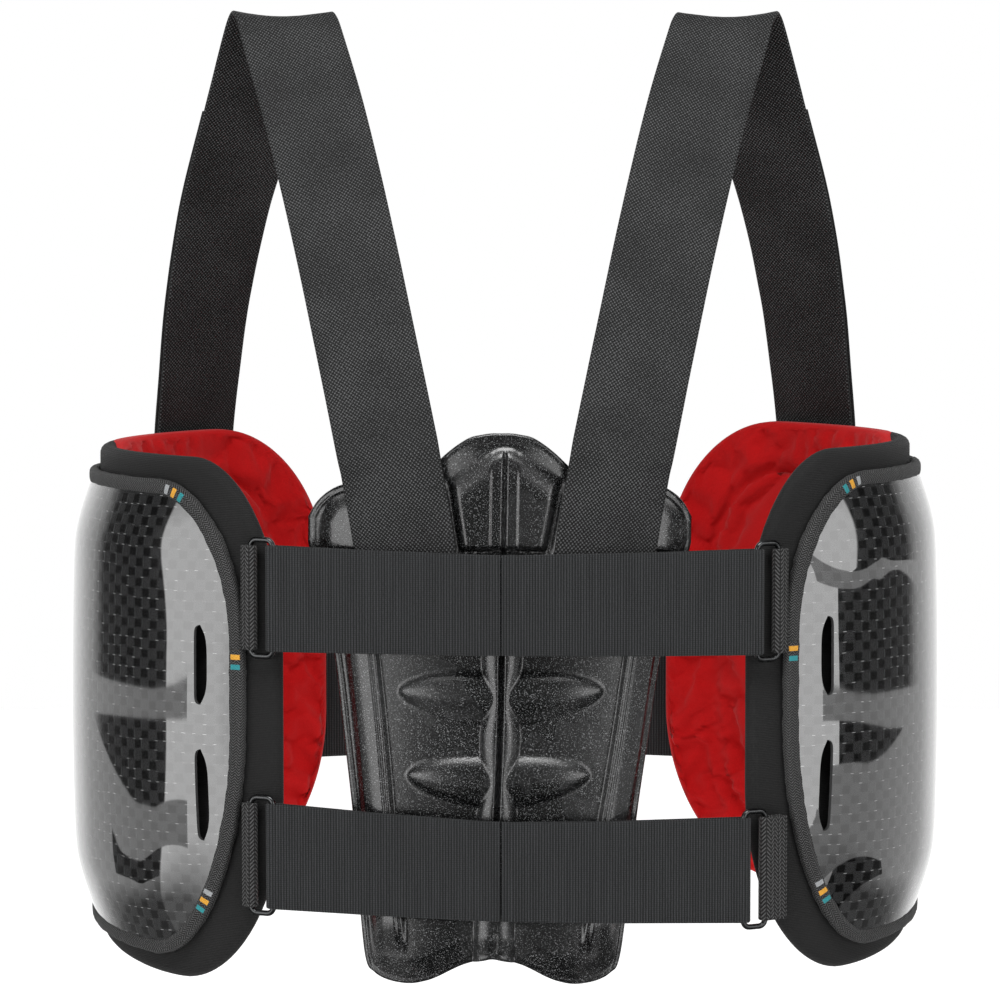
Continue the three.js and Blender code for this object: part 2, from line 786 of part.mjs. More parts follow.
// A flat band through sections, with its own width direction at each
function strapGeometry(sections, side, width, thickness, standOff) {
  const centres = sections.map((row) => new THREE.Vector3(side * row.out, row.y, row.z));
  const rings = sections.map((row, i) => {
    const before = centres[Math.max(0, i - 1)];
    const after = centres[Math.min(centres.length - 1, i + 1)];
    const along = after.clone().sub(before).normalize();
    const yaw = THREE.MathUtils.degToRad(row.turn);
    const level = new THREE.Vector3(Math.cos(yaw), side * Math.sin(yaw), 0);
    const across = level.addScaledVector(along, -level.dot(along)).normalize();
    const outward = new THREE.Vector3().crossVectors(across, along).normalize();
    const corner = (sign, depth) => {
      const edge = centres[i].clone().addScaledVector(across, (sign * width) / 2);
      return edge.addScaledVector(outward, standOff + depth);
    };
    const half = thickness / 2;
    return [corner(-1, -half), corner(1, -half), corner(1, half), corner(-1, half)];
  });
  return skinRings(rings);
}

// Back plate: floor, rim and raised forms as a height over the skin, at a place out from the middle
function plateRelief(out, z, edge) {
  const side = Math.abs(out);
  let rise = plateRim + (plateFloor - plateRim) * smooth(edge / plateRimWidth);
  for (const dome of domes) {
    const reach = ((side - dome.out) / dome.halfWidth) ** 2 + ((z - dome.height) / dome.halfHeight) ** 2;
    rise += domeRise * Math.sqrt(Math.max(0, 1 - reach));
  }
  const drop = (railTop.height - z) / (railTop.height - railBottom.height);
  const railOut = railTop.out + (railBottom.out - railTop.out) * drop;
  const railEnd = smooth((z - railFoot) / railFade) * smooth((railHead - z) / railFade);
  const railReach = Math.max(0, 1 - ((side - railOut) / railHalfWidth) ** 2);
  rise += railRise * railEnd * Math.sqrt(railReach);
  const ridge = smooth((spineHalfWidth - side) / reliefBlend) * smooth((hoodFoot.height - z) / reliefBlend);
  rise = Math.max(rise, plateFloor + spineRise * ridge);
  const hood = hoodDistance(side, z);
  rise = Math.max(rise, plateFloor + hoodRise * smooth(hood / reliefBlend));
  const groove = smooth(1 - side / spineGrooveHalfWidth);
  return rise - spineGroove * groove * smooth(edge / plateRimWidth);
}

// How far inside the five-sided hood a place is, below zero outside
function hoodDistance(side, z) {
  const roof = hoodApex - (hoodApex - hoodShoulder.height) * (side / hoodShoulder.out);
  const share = (z - hoodFoot.height) / (hoodShoulder.height - hoodFoot.height);
  const wall = hoodFoot.out + (hoodShoulder.out - hoodFoot.out) * share;
  return Math.min(roof - z, wall - side, z - hoodFoot.height);
}

function plateGeometry() {
  const half = plateColumns.map((row) => ({
    out: row.out * plateHalfWidth,
    top: row.top * plateTop,
    bottom: -row.bottom * plateBottom,
  }));
  const columns = [...half.slice(1).reverse().map((row) => ({ ...row, out: -row.out })), ...half];
  const place = (out, z, rise) => {
    const x = out + plateShiftX + plateLean * z;
    return new THREE.Vector3(x, -(skinDepth(x) + plateStandOff + rise), z);
  };
  const rings = columns.map((column) => {
    const span = column.top - column.bottom;
    const fromEnd = plateHalfWidth - Math.abs(column.out);
    const front = [];
    for (let i = 0; i <= plateRows; i += 1) {
      const z = column.bottom + (span * i) / plateRows;
      const edge = Math.min(z - column.bottom, column.top - z, fromEnd);
      front.push(place(column.out, z, plateRelief(column.out, z, edge)));
    }
    const back = [place(column.out, column.top, 0), place(column.out, column.bottom, 0)];
    return [...front, ...back];
  });
  return skinRings(rings, { split: plateRows + 1 });
}

function namedMesh(name, geometry, look) {
  const mesh = new THREE.Mesh(geometry, new THREE.MeshStandardMaterial(colours[look]));
  mesh.name = name;
  return mesh;
}

const product = new THREE.Group();
product.add(namedMesh("back_plate", plateGeometry(), "plate"));
for (const belt of belts) {
  const place = `${belt.name}_${belt.side}`;
  product.add(namedMesh(`belt_${place}`, beltGeometry(belt), "belt"));
  product.add(namedMesh(`ring_${place}`, ringGeometry(belt), "ring"));
  product.add(namedMesh(`ring_tab_${place}`, ringTabGeometry(belt), "webbing"));
}
for (const [name, flank] of Object.entries(flanks)) {
  product.add(namedMesh(`pad_${name}`, padGeometry(flank), "foam"));
  product.add(namedMesh(`lining_${name}`, liningGeometry(flank), "lining"));
  product.add(namedMesh(`shell_${name}`, shellGeometry(flank), "shell"));
  product.add(namedMesh(`binding_${name}`, bindingGeometry(flank), "tape"));
  const { back, chest } = strapSections(flank);
  const strap = strapGeometry([...back, ...chest], flank.side, strapWidth, strapThickness, 0);
  product.add(namedMesh(`strap_${name}`, strap, "webbing"));
  const tailStandOff = strapThickness / 2 + layerGap + tailThickness / 2;
  const tailRows = chest.slice(tailFirstRow);
  const tail = strapGeometry(tailRows, flank.side, strapWidth, tailThickness, tailStandOff);
  product.add(namedMesh(`strap_tail_${name}`, tail, "webbing"));
}
product.add(namedMesh("front_belt", frontBeltGeometry(), "belt"));

// The origin is between the crests of the straps, where the shoulders carry the guard
product.position.set(0, crestBack, -(crestHeight - strapThickness));

export default product;
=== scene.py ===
"""Rib protector, seen from the wearer's back: its fine surfaces, materials, studio and camera.

Sizes are in millimetres in the same frame as the solids' source, and are turned into metres when a mesh is
made. A place on the torso is a side, an arc length from the flank line (negative towards the back), an offset
outwards from the skin, and a height.
"""

import math

import bmesh
import bpy
import numpy as np
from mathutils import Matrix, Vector, noise

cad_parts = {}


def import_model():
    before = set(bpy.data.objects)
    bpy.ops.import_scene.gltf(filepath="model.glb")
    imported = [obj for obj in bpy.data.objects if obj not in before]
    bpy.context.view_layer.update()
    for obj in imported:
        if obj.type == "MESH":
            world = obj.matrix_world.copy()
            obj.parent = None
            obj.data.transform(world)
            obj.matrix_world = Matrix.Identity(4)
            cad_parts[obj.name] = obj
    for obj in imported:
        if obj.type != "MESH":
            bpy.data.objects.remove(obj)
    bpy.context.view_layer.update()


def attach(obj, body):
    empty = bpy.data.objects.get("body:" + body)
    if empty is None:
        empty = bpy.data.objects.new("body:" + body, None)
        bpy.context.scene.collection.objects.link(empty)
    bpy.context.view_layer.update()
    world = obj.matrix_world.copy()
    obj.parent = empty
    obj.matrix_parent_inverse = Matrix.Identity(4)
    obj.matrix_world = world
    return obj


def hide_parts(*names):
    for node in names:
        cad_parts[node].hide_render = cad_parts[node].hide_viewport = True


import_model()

# Frame of the source: where its origin lies, and the unit
MM = 0.001
ORIGIN = np.array([0.0, 8.0, -227.8])

# Torso section
TORSO_HALF_WIDTH = 179.0
TORSO_HALF_DEPTH = 120.0

# Layers, as offsets from the skin
LINING_THICKNESS = 5.5
LAYER_GAP = 0.3
SEAT_GAP = 0.4
PAD_INNER = LINING_THICKNESS + LAYER_GAP
PAD_THICKNESS = 8.5
PAD_OUTER = PAD_INNER + PAD_THICKNESS
SHELL_INNER = PAD_OUTER + SEAT_GAP
SHELL_THICKNESS = 2.4
SHELL_EDGE_RISE = 2.3
SHELL_RISE = 9.0
SHELL_SHOULDER = 30.0
SHELL_CROWN = 3.0
SHELL_MIDDLE = -95.0
SHELL_HALF_HEIGHT = 110.0
SHELL_SHARP = 35
BINDING_WIDTH = 7.0
# The tape's section, from the shell's inner side over its edge: distance inwards, and rise
BINDING_SECTION = [
    (0.6, 0.0), (0.0, 0.7), (0.0, 2.9), (0.5, 3.9), (1.5, 4.45), (3.0, 4.6), (4.8, 4.55), (6.1, 4.3),
    (6.8, 3.8), (7.0, 3.0), (6.6, 0.0),
]

# Lining: how far its edge passes the pad's outline, how far its back half is tucked in, and its stitched dent
LINING_PAST = 0.4
LINING_TUCK = 3.4
LINING_SHRINK = 0.034
DENT_INSET = 25.0
DENT_HALF_WIDTH = 4.34
DENT_DEPTH = 2.4
PUFF_CAP = 5.0

# Outlines of the flank pieces: ends along the arc, heights, and corner radii along and up
PAD_FORM = {
    "back": 136.5, "front": 147.0, "top": 27.5,
    "bottom_back": 215.5, "bottom_front": 200.0, "run_end": 12.0,
    "back_top": (46.0, 87.0), "back_bottom": (53.0, 89.0),
    "front_top": (58.0, 75.0), "front_bottom": (62.0, 85.0),
}
SHELL_FORM = {
    "back": 121.5, "front": 112.0, "top": 16.5,
    "bottom_back": 205.0, "bottom_front": 196.0, "run_end": 15.0,
    "back_top": (45.0, 75.0), "back_bottom": (47.5, 110.0),
    "front_top": (45.0, 75.0), "front_bottom": (47.5, 100.0),
}
SLOT_FROM_EDGE = 17.9
SLOT_WIDTH = 6.0
# Ends of the slots, as shares of the way down to the shell's bottom
SLOTS = [(0.236, 0.4156), (0.516, 0.7244)]

# The two flanks: side, slide along the arc towards the front, and lift
FLANKS = {"left": (-1, 0.0, 0.0), "right": (1, 9.0, 3.5)}

# Back plate
PLATE_STAND_OFF = 1.0
PLATE_FLOOR = 6.5
PLATE_RIM = 3.0
PLATE_SHIFT_X = -2.5
PLATE_LEAN = 0.017
PLATE_HALF_WIDTH = 87.5
PLATE_TOP = 41.0
PLATE_BOTTOM = 211.5
# Half outline from the middle outwards: shares of the half width, the top height and the bottom depth
PLATE_OUTLINE = [
    (0, 1, 0.941), (0.05, 1, 0.945), (0.1, 0.985, 0.95), (0.16, 0.955, 0.958), (0.22, 0.88, 0.97),
    (0.28, 0.78, 0.983), (0.34, 0.66, 0.993), (0.42, 0.5, 1), (0.5, 0.42, 0.998), (0.57, 0.42, 0.99),
    (0.62, 0.43, 0.977), (0.66, 0.44, 0.955), (0.69, 0.445, 0.87), (0.74, 0.445, 0.645), (0.79, 0.43, 0.48),
    (0.85, 0.39, 0.29), (0.91, 0.31, 0.195), (0.96, 0.2, 0.12), (1, 0.05, 0.045),
]

# Forms on the plate's face, from its middle line and height zero
RAIL_PROFILE = [(-6.6, 0), (-4.0, 2.6), (4.4, 3.9), (5.2, 2.2), (7.4, 2.6), (8.8, -1.6), (12, -1.6)]
# Domes: height, reach from the middle, and half height
DOMES = [(-79.5, 46.5, 12.6), (-118.0, 41.5, 12.2)]
DOME_RISE = 4.4
# The spine's waists: heights, and how far each reaches up and down
WAISTS = [-80, -118]
WAIST_REACH = 9.5
GROOVE_DEPTH = 4.2
HOOD_TOP = 34.6
HOOD_FOOT = -11.3
HOOD_RISE = 4.3
HOOD_HALF_WIDTH = 18.6
HOOD_WIDENING = 5.3 / 31.2
HOOD_RIDGE_INNER = 5.4
HOOD_RIDGE_OUTER = 6.9

# Belts
UPPER_BELT_DROP = 36.0
LOWER_BELT_DROP = 157.5
BELT_WIDTH = 45.5
BELT_SPREAD = 1.5
BELT_THICKNESS = 1.8
BELT_CENTRE_X = -2.0
BELT_CENTRE_GAP = 0.6
BELT_EASE = 1.3
RIB_PITCH = 1.3
SPINE_RISE = 5.0
SPINE_HALF_WIDTH = 8.0
RAIL_RISE = 4.0
RING_WIRE = 2.6
RING_WIDTH = 14.0
RING_HEIGHT = 56.0
RING_CORNER = 4.5
TAB_WIDTH = 48.0
TAB_THICKNESS = 1.5
TAB_END_RISE = 2.6
# Side, drop at the middle, tilt as a share of the belt's width, the ring's distance from the shell's edge as
# a share of the ring's width, and the bend over the rail as a share of the plate's half width
BELTS = {
    "upper_left": ("left", UPPER_BELT_DROP, 0.026, 0.65, 0.731),
    "upper_right": ("right", UPPER_BELT_DROP, -0.018, 0.65, 0.731),
    "lower_left": ("left", LOWER_BELT_DROP, 0.092, 0.636, 0.594),
    "lower_right": ("right", LOWER_BELT_DROP, -0.053, 1.071, 0.594),
}

# Front belt
FRONT_TOP = -46.0
FRONT_BOTTOM = -140.5
FRONT_THICKNESS = 3.0
FRONT_OVERLAP = 26.0

# Shoulder straps
STRAP_WIDTH = 47.0
STRAP_THICKNESS = 2.2
TAIL_THICKNESS = 2.0
CREST_HEIGHT = 230.0
CREST_OUT = 105.0
CREST_BACK = 8.0
CREST_BEND = (2.5, 6.3, 2.4)
STRAP_FOOT_ARC = 84.0
STRAP_FOOT_SEAM = 9.5
# On the plate: how far out, and height
STRAP_ON_PLATE = [(44.3, -34.0), (45.5, -12.0), (51.2, 22.0)]
# Between the plate, the crest and the pad: shares of the climb, the way out and the way forward, and yaw
BACK_RUN = [
    (0.09, 0.07, 0.04, 11), (0.326, 0.268, 0.209, 13), (0.558, 0.473, 0.421, 12),
    (0.781, 0.696, 0.668, 8), (0.945, 0.893, 0.875, 3),
]
CHEST_RUN = [
    (0.061, 0.135, 0.144, -8), (0.237, 0.365, 0.361, -17), (0.448, 0.635, 0.598, -27),
    (0.669, 0.827, 0.784, -35), (0.875, 0.942, 0.928, -40),
]
TAIL_FIRST_ROW = 1


# Torso section, tabulated
SECTION_ANGLES = np.linspace(-math.pi, math.pi, 2881)
SECTION_MIDDLES = (SECTION_ANGLES[1:] + SECTION_ANGLES[:-1]) / 2
SECTION_STEP = SECTION_ANGLES[1] - SECTION_ANGLES[0]
SECTION_SPEED = np.hypot(
    TORSO_HALF_WIDTH * np.sin(SECTION_MIDDLES), TORSO_HALF_DEPTH * np.cos(SECTION_MIDDLES)
)
SECTION_ARCS = np.concatenate([[0.0], np.cumsum(SECTION_SPEED * SECTION_STEP)])
SECTION_ARCS -= SECTION_ARCS[len(SECTION_ARCS) // 2]
QUARTER_ARC = float(np.interp(math.pi / 2, SECTION_ANGLES, SECTION_ARCS))


def torso_normal(side, arc):
    angle = np.interp(arc, SECTION_ARCS, SECTION_ANGLES)
    x, y = np.cos(angle) / TORSO_HALF_WIDTH, np.sin(angle) / TORSO_HALF_DEPTH
    length = np.hypot(x, y)
    return np.stack([side * x / length, y / length, np.zeros_like(length)], -1)


def on_torso(side, arc, offset, height):
    arc, offset, height = np.broadcast_arrays(np.asarray(arc, float), offset, height)
    angle = np.interp(arc, SECTION_ARCS, SECTION_ANGLES)
    normal = torso_normal(side, arc)
    skin = np.stack(
        [side * TORSO_HALF_WIDTH * np.cos(angle), TORSO_HALF_DEPTH * np.sin(angle), height], -1
    )
    return skin + normal * offset[..., None]


def skin_depth(x):
    return TORSO_HALF_DEPTH * np.sqrt(np.maximum(0, 1 - (np.asarray(x, float) / TORSO_HALF_WIDTH) ** 2))


def plate_face(x):
    return skin_depth(x) + PLATE_STAND_OFF + PLATE_FLOOR


def smooth(share):
    t = np.clip(share, 0, 1)
    return t * t * (3 - 2 * t)


def fade(value, start, end):
    """A soft step from 0 at the start to 1 at the end."""
    return smooth((value - start) / (end - start))


def round_rise(distance, radius):
    t = np.clip(np.asarray(distance, float) / radius, 0, 1)
    return np.sqrt(1 - (1 - t) ** 2)


def bell(distance, half_width):
    """A soft ridge across a distance from its line, 1 on the line."""
    return np.exp(-((distance / half_width) ** 2))


def noise_field(points, scale, seed, octaves=2):
    """Smooth noise from about -1 to 1 at each point, at the given size in millimetres."""
    flat = np.asarray(points, float).reshape(-1, 3) / scale + seed
    values = [noise.fractal(Vector(p), 0.8, 2.1, octaves, noise_basis="PERLIN_ORIGINAL") for p in flat]
    return np.array(values).reshape(np.asarray(points).shape[:-1])


# Meshes


def make_piece(node, shape, material, sharp=60):
    """The surface of one node, riding on the root body. A shape is points, faces, and places on the cloth."""
    points, faces, uvs = shape
    mesh = bpy.data.meshes.new(f"{node}_skin")
    places = (np.asarray(points, float) + ORIGIN) * MM
    mesh.from_pydata(places.tolist(), [], [tuple(int(i) for i in face) for face in faces])
    if uvs is not None:
        corners = np.zeros(len(mesh.loops), dtype=np.int32)
        mesh.loops.foreach_get("vertex_index", corners)
        layer = mesh.uv_layers.new(name="cloth")
        layer.data.foreach_set("uv", (np.asarray(uvs, float)[corners] * MM).ravel())
    face_out(mesh)
    mesh.shade_smooth()
    mesh.set_sharp_from_angle(angle=math.radians(sharp))
    piece = bpy.data.objects.new(f"{node}_skin", mesh)
    bpy.context.scene.collection.objects.link(piece)
    mesh.materials.append(material)
    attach(piece, "root")
    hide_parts(node)
    return piece


def face_out(mesh):
    work = bmesh.new()
    work.from_mesh(mesh)
    bmesh.ops.recalc_face_normals(work, faces=work.faces)
    if work.calc_volume(signed=True) < 0:
        bmesh.ops.reverse_faces(work, faces=work.faces)
    work.to_mesh(mesh)
    work.free()


def grid_faces(rows, columns, first=0):
    index = np.arange(rows * columns).reshape(rows, columns) + first
    return np.stack(
        [index[:-1, :-1], index[1:, :-1], index[1:, 1:], index[:-1, 1:]], -1
    ).reshape(-1, 4)


def sheet_solid(outer, inner):
    """Points and faces of a closed solid between two grids of the same size."""
    rows, columns = outer.shape[:2]
    count = rows * columns
    points = np.concatenate([outer.reshape(-1, 3), inner.reshape(-1, 3)])
    faces = [grid_faces(rows, columns), grid_faces(rows, columns, count)[:, ::-1]]
    index = np.arange(count).reshape(rows, columns)
    border = np.concatenate([index[0, :-1], index[:-1, -1], index[-1, :0:-1], index[:0:-1, 0]])
    after = np.roll(border, -1)
    faces.append(np.stack([border, after, after + count, border + count], -1))
    return points, np.concatenate(faces)


def loft(rings, closed=False):
    """Points and faces through rings of equally many points. Open ends are capped as strips of quads."""
    steps, size = rings.shape[:2]
    index = np.arange(steps * size).reshape(steps, size)
    index = np.concatenate([index, index[:, :1]], 1)
    if closed:
        index = np.concatenate([index, index[:1]], 0)
    faces = np.stack([index[:-1, :-1], index[1:, :-1], index[1:, 1:], index[:-1, 1:]], -1).reshape(-1, 4)
    faces = [tuple(face) for face in faces]
    if not closed:
        for row in (0, steps - 1):
            ring = row * size + np.arange(size)
            for j in range(size // 2 - 1):
                faces.append((ring[j], ring[j + 1], ring[size - 2 - j], ring[size - 1 - j]))
    return rings.reshape(-1, 3), faces


def distance_to_loop(spots, loop):
    """How far each 2-D spot lies from a closed polyline."""
    flat = spots.reshape(-1, 2)
    start, run = loop, np.roll(loop, -1, 0) - loop
    length = np.maximum((run**2).sum(1), 1e-12)
    found = np.empty(len(flat))
    chunk = 3000
    for i in range(0, len(flat), chunk):
        away = flat[i : i + chunk, None] - start[None]
        share = np.clip((away * run).sum(2) / length, 0, 1)
        found[i : i + chunk] = np.sqrt(((away - share[..., None] * run) ** 2).sum(2).min(1))
    return found.reshape(spots.shape[:-1])


# Flank pieces


def flank_outline(form, inset):
    """Top and low height functions of a flank piece, and its ends."""
    back, front = -(form["back"] - inset), form["front"] - inset

    def drop(arc, corner, end):
        along, rise = corner[0] - inset, corner[1] - inset
        depth = np.clip((along - np.abs(end - arc)) / along, 0, 1)
        return rise * (1 - np.sqrt(1 - depth**2))

    def top(arc):
        return form["top"] - inset - drop(arc, form["back_top"], back) - drop(arc, form["front_top"], front)

    def low(arc):
        run = smooth((arc + form["back"] - form["back_bottom"][0]) / (form["back"] - form["run_end"]))
        level = -(form["bottom_back"] + (form["bottom_front"] - form["bottom_back"]) * run) + inset
        return level + drop(arc, form["back_bottom"], back) + drop(arc, form["front_bottom"], front)

    return back, front, low, top


def edge_shares(count, rims, span):
    """Places from 0 to span: crowded at both ends at the rim distances, and even between them."""
    rims = np.asarray(rims, float)
    middle = np.linspace(rims[-1], span - rims[-1], count)[1:-1]
    return np.concatenate([rims, middle, span - rims[::-1]])


def corner_stations(back, front, corner, corner_steps, step):
    turn = corner * (1 - np.cos(np.linspace(0, math.pi / 2, corner_steps + 1)))
    middle = np.linspace(back + corner, front - corner, int((front - back - 2 * corner) / step))[1:-1]
    return np.concatenate([back + turn, middle, (front - turn)[::-1]])


def flank_grid(form, inset, corner_steps, step, rims, rows):
    """Arc and height of each grid point of a flank piece, and its true distance from the edge."""
    back, front, low, top = flank_outline(form, inset)
    arcs = corner_stations(back, front, form["back_top"][0] - inset, corner_steps, step)
    spans = top(arcs) - low(arcs)
    shares = edge_shares(rows, rims, spans.max()) / spans.max()
    heights = low(arcs)[:, None] + spans[:, None] * shares[None]
    arc_grid = np.broadcast_to(arcs[:, None], heights.shape)
    loop = outline_loop(form, inset, 400)
    away = distance_to_loop(np.stack([arc_grid, heights], -1), loop)
    return arc_grid, heights, away


def outline_loop(form, inset, count):
    """The outline as a closed polyline of arc lengths and heights, evenly spaced."""
    back, front, low, top = flank_outline(form, inset)
    turn = (1 - np.cos(np.linspace(0, math.pi, 600))) / 2
    arcs = back + (front - back) * turn
    upper = np.stack([arcs, top(arcs)], -1)
    lower = np.stack([arcs, low(arcs)], -1)[::-1]
    return even_loop(np.concatenate([upper, lower]), count)


def run_along(points):
    return np.concatenate([[0], np.cumsum(np.linalg.norm(np.diff(points, axis=0), axis=1))])


def even_loop(points, count):
    closed = np.concatenate([points, points[:1]])
    lengths = run_along(closed)
    wanted = np.linspace(0, lengths[-1], count, endpoint=False)
    return np.stack([np.interp(wanted, lengths, closed[:, k]) for k in range(points.shape[1])], -1)


def flank_sheet(flank, arc, height, outer_offset, inner_offset):
    side, slide, lift = flank
    outer = on_torso(side, arc + slide, outer_offset, height + lift)
    inner = on_torso(side, arc + slide, inner_offset, height + lift)
    uv = np.stack([arc.ravel(), height.ravel()], -1)
    return *sheet_solid(outer, inner), np.concatenate([uv, uv])


def build_pad(name, flank, material):
    rims = [0, 0.25, 0.9, 2.0, 3.6, 6.0]
    arc, height, away = flank_grid(PAD_FORM, 0, 26, 3.4, rims, 70)
    spots = np.stack([arc, height, np.zeros_like(arc)], -1)
    edge = 4.0
    swell = 0.35 * noise_field(spots, 34.0, 3.1) * smooth(away / 14)
    full = edge * (1 - round_rise(away, edge))
    shape = flank_sheet(flank, arc, height, PAD_OUTER - 0.3 - full + swell, PAD_INNER + full)
    piece = make_piece(f"pad_{name}", shape, material)


def build_lining(name, flank, material):
    """The lining's skin side is puffed and wrinkled, and its outer side lies on the pad."""
    rims = [0, 0.3, 0.9, 1.8, 3.0, 4.6, 7.0]
    arc, height, away = flank_grid(PAD_FORM, -LINING_PAST, 28, 3.0, rims, 76)
    back_half = 1 - smooth((arc + 12.0) / 26.0)
    middle = (PAD_FORM["top"] - PAD_FORM["bottom_back"]) / 2
    arc = arc + LINING_TUCK * back_half * smooth(-arc / PAD_FORM["back"])
    height = middle + (height - middle) * (1 - LINING_SHRINK * back_half)
    spots = np.stack([arc, height, np.full_like(arc, 7.0 * flank[0])], -1)
    rim = round_rise(away, 10.0)
    dent = DENT_DEPTH * bell(away - DENT_INSET, DENT_HALF_WIDTH)
    crown = 0.96 * smooth((away - DENT_INSET) / 34)
    wrinkle = 0.9 * noise_field(spots, 30.0, 11.0) + 0.45 * noise_field(spots * [1.0, 0.45, 1.0], 13.0, 4.0)
    puff = LINING_THICKNESS - 0.6 - (LINING_THICKNESS - 1.2) * rim
    inner = puff + dent * rim - crown + wrinkle * smooth(away / 12)
    inner = np.minimum(inner, LINING_THICKNESS - 0.4)
    outer = LINING_THICKNESS + 4.0 * (1 - round_rise(away, 4.4)) * (1 - back_half)
    piece = make_piece(f"lining_{name}", flank_sheet(flank, arc, height, outer, inner), material)
    stitched = np.maximum(1 - smooth((away - 2.0) / 4.0), bell(away - DENT_INSET, 4.0))
    puff_up(piece, np.concatenate([np.ones(away.size), stitched.ravel()]))


def puff_up(piece, held):
    """Swells a closed cloth under pressure, pinned by the held shares, and keeps each move under the cap."""
    group = piece.vertex_groups.new(name="held")
    for place, share in enumerate(held):
        group.add([place], float(share), "REPLACE")
    cloth = piece.modifiers.new("cloth", "CLOTH")
    settings = cloth.settings
    settings.quality = 6
    settings.mass = 0.2
    settings.tension_stiffness = settings.compression_stiffness = 12
    settings.shear_stiffness = 5
    settings.bending_stiffness = 0.3
    settings.use_pressure = True
    settings.uniform_pressure_force = 6
    settings.effector_weights.gravity = 0
    settings.vertex_group_mass = "held"
    settings.shrink_min = -0.13
    cloth.collision_settings.use_collision = False
    scene = bpy.context.scene
    for frame_number in range(1, 21):
        scene.frame_set(frame_number)
    count = len(piece.data.vertices)
    before, after = np.zeros(3 * count), np.zeros(3 * count)
    piece.data.vertices.foreach_get("co", before)
    swollen = piece.evaluated_get(bpy.context.evaluated_depsgraph_get()).to_mesh()
    swollen.vertices.foreach_get("co", after)
    move = (after - before).reshape(-1, 3)
    size = np.linalg.norm(move, axis=1, keepdims=True)
    move *= np.minimum(1, PUFF_CAP * MM / np.maximum(size, 1e-9))
    piece.modifiers.clear()
    piece.vertex_groups.clear()
    piece.data.vertices.foreach_set("co", before + move.ravel())
    piece.data.update()
    scene.frame_set(1)


def shell_lift(height, away):
    """How far the shell stands off its seat: a low edge, a round shoulder, and a slight crown upwards."""
    crown = SHELL_CROWN * (1 - ((height - SHELL_MIDDLE) / SHELL_HALF_HEIGHT) ** 2)
    turn = math.pi / 2 * np.clip(away / SHELL_SHOULDER, 0, 1)
    shoulder = SHELL_EDGE_RISE + (SHELL_RISE - SHELL_EDGE_RISE) * np.sin(turn)
    return shoulder + crown * smooth(away / 40)


def build_shell(name, flank, material):
    inset = BINDING_WIDTH - 1.6
    rims = [0, 0.8, 1.8, 3.0, 4.5, 6.5]
    arc, height, away = flank_grid(SHELL_FORM, inset, 30, 2.4, rims, 92)
    outer = SHELL_INNER + SHELL_THICKNESS + shell_lift(height, away) - 0.8
    inner = outer - SHELL_THICKNESS + 0.6
    shape = flank_sheet(flank, arc, height, outer, inner)
    piece = make_piece(f"shell_{name}", shape, material, SHELL_SHARP)
    for top, bottom in SLOTS:
        cut_slot(piece, flank, -top * SHELL_FORM["bottom_back"], -bottom * SHELL_FORM["bottom_back"])


def cut_slot(piece, flank, top, bottom):
    """Cuts a long hole through the shell: nearly straight towards the back edge, bowed on the other side."""
    side, slide, lift = flank
    arc = -SHELL_FORM["back"] + SLOT_FROM_EDGE + slide
    turn = -np.cos(np.linspace(0, math.pi, 25))
    level = (top + bottom) / 2 + (top - bottom) / 2 * turn
    straight = side * SLOT_WIDTH / 2 * np.sqrt(1 - turn**16)
    bowed = -side * SLOT_WIDTH / 2 * (2 * np.sqrt(1 - turn**4) - np.sqrt(1 - turn**16))
    outline = np.concatenate([np.stack([straight, level], -1), np.stack([bowed, level], -1)[-2:0:-1]])
    normal = torso_normal(side, arc)
    along = np.cross([0, 0, 1], normal)
    foot = on_torso(side, arc, 0.0, lift)
    ring = foot + outline[:, :1] * along + outline[:, 1:] * np.array([0, 0, 1])
    rings = np.stack([ring + normal * (PAD_OUTER - 1), ring + normal * (PAD_OUTER + 24)])
    points, faces = loft(rings)
    faces = [f for f in faces if len(f) == 4][: len(outline)]
    size = len(outline)
    faces += [tuple(range(size)), tuple(range(size, 2 * size))]
    mesh = bpy.data.meshes.new("slot")
    mesh.from_pydata(((points + ORIGIN) * MM).tolist(), [], [tuple(int(i) for i in f) for f in faces])
    face_out(mesh)
    plug = bpy.data.objects.new("slot", mesh)
    bpy.context.scene.collection.objects.link(plug)
    cut = piece.modifiers.new("cut", "BOOLEAN")
    cut.operation, cut.solver, cut.object = "DIFFERENCE", "EXACT", plug
    apply_modifiers(piece)
    bpy.data.objects.remove(plug)
    piece.data.set_sharp_from_angle(angle=math.radians(SHELL_SHARP))


def apply_modifiers(piece):
    graph = bpy.context.evaluated_depsgraph_get()
    mesh = bpy.data.meshes.new_from_object(piece.evaluated_get(graph))
    piece.modifiers.clear()
    piece.data = mesh


def build_binding(name, flank, material):
    """The tape folded over the shell's edge, as a closed band round its outline."""
    side, slide, lift = flank
    outer = outline_loop(SHELL_FORM, 0, 760)
    tangent = np.roll(outer, -1, 0) - np.roll(outer, 1, 0)
    tangent /= np.linalg.norm(tangent, axis=1, keepdims=True)
    inward = np.stack([tangent[:, 1], -tangent[:, 0]], -1)
    steps = [math.dist(a, b) for a, b in zip(BINDING_SECTION, BINDING_SECTION[1:])]
    across = np.concatenate([[0], np.cumsum(steps)])
    rings = []
    for step, rise in BINDING_SECTION:
        spot = outer + inward * step
        rings.append(on_torso(side, spot[:, 0] + slide, SHELL_INNER + rise, spot[:, 1] + lift))
    rings = np.stack(rings, 1)
    middle = rings.mean(1, keepdims=True)
    ripple = 0.10 * noise_field(middle[:, 0], 5.0, 9.0)[:, None, None]
    rings = middle + (rings - middle) * (1 + ripple)
    run = run_along(outer)
    uv = np.stack(np.broadcast_arrays(run[:, None], across[None]), -1).reshape(-1, 2)
    make_piece(f"binding_{name}", (*loft(rings, closed=True), uv), material, 50)


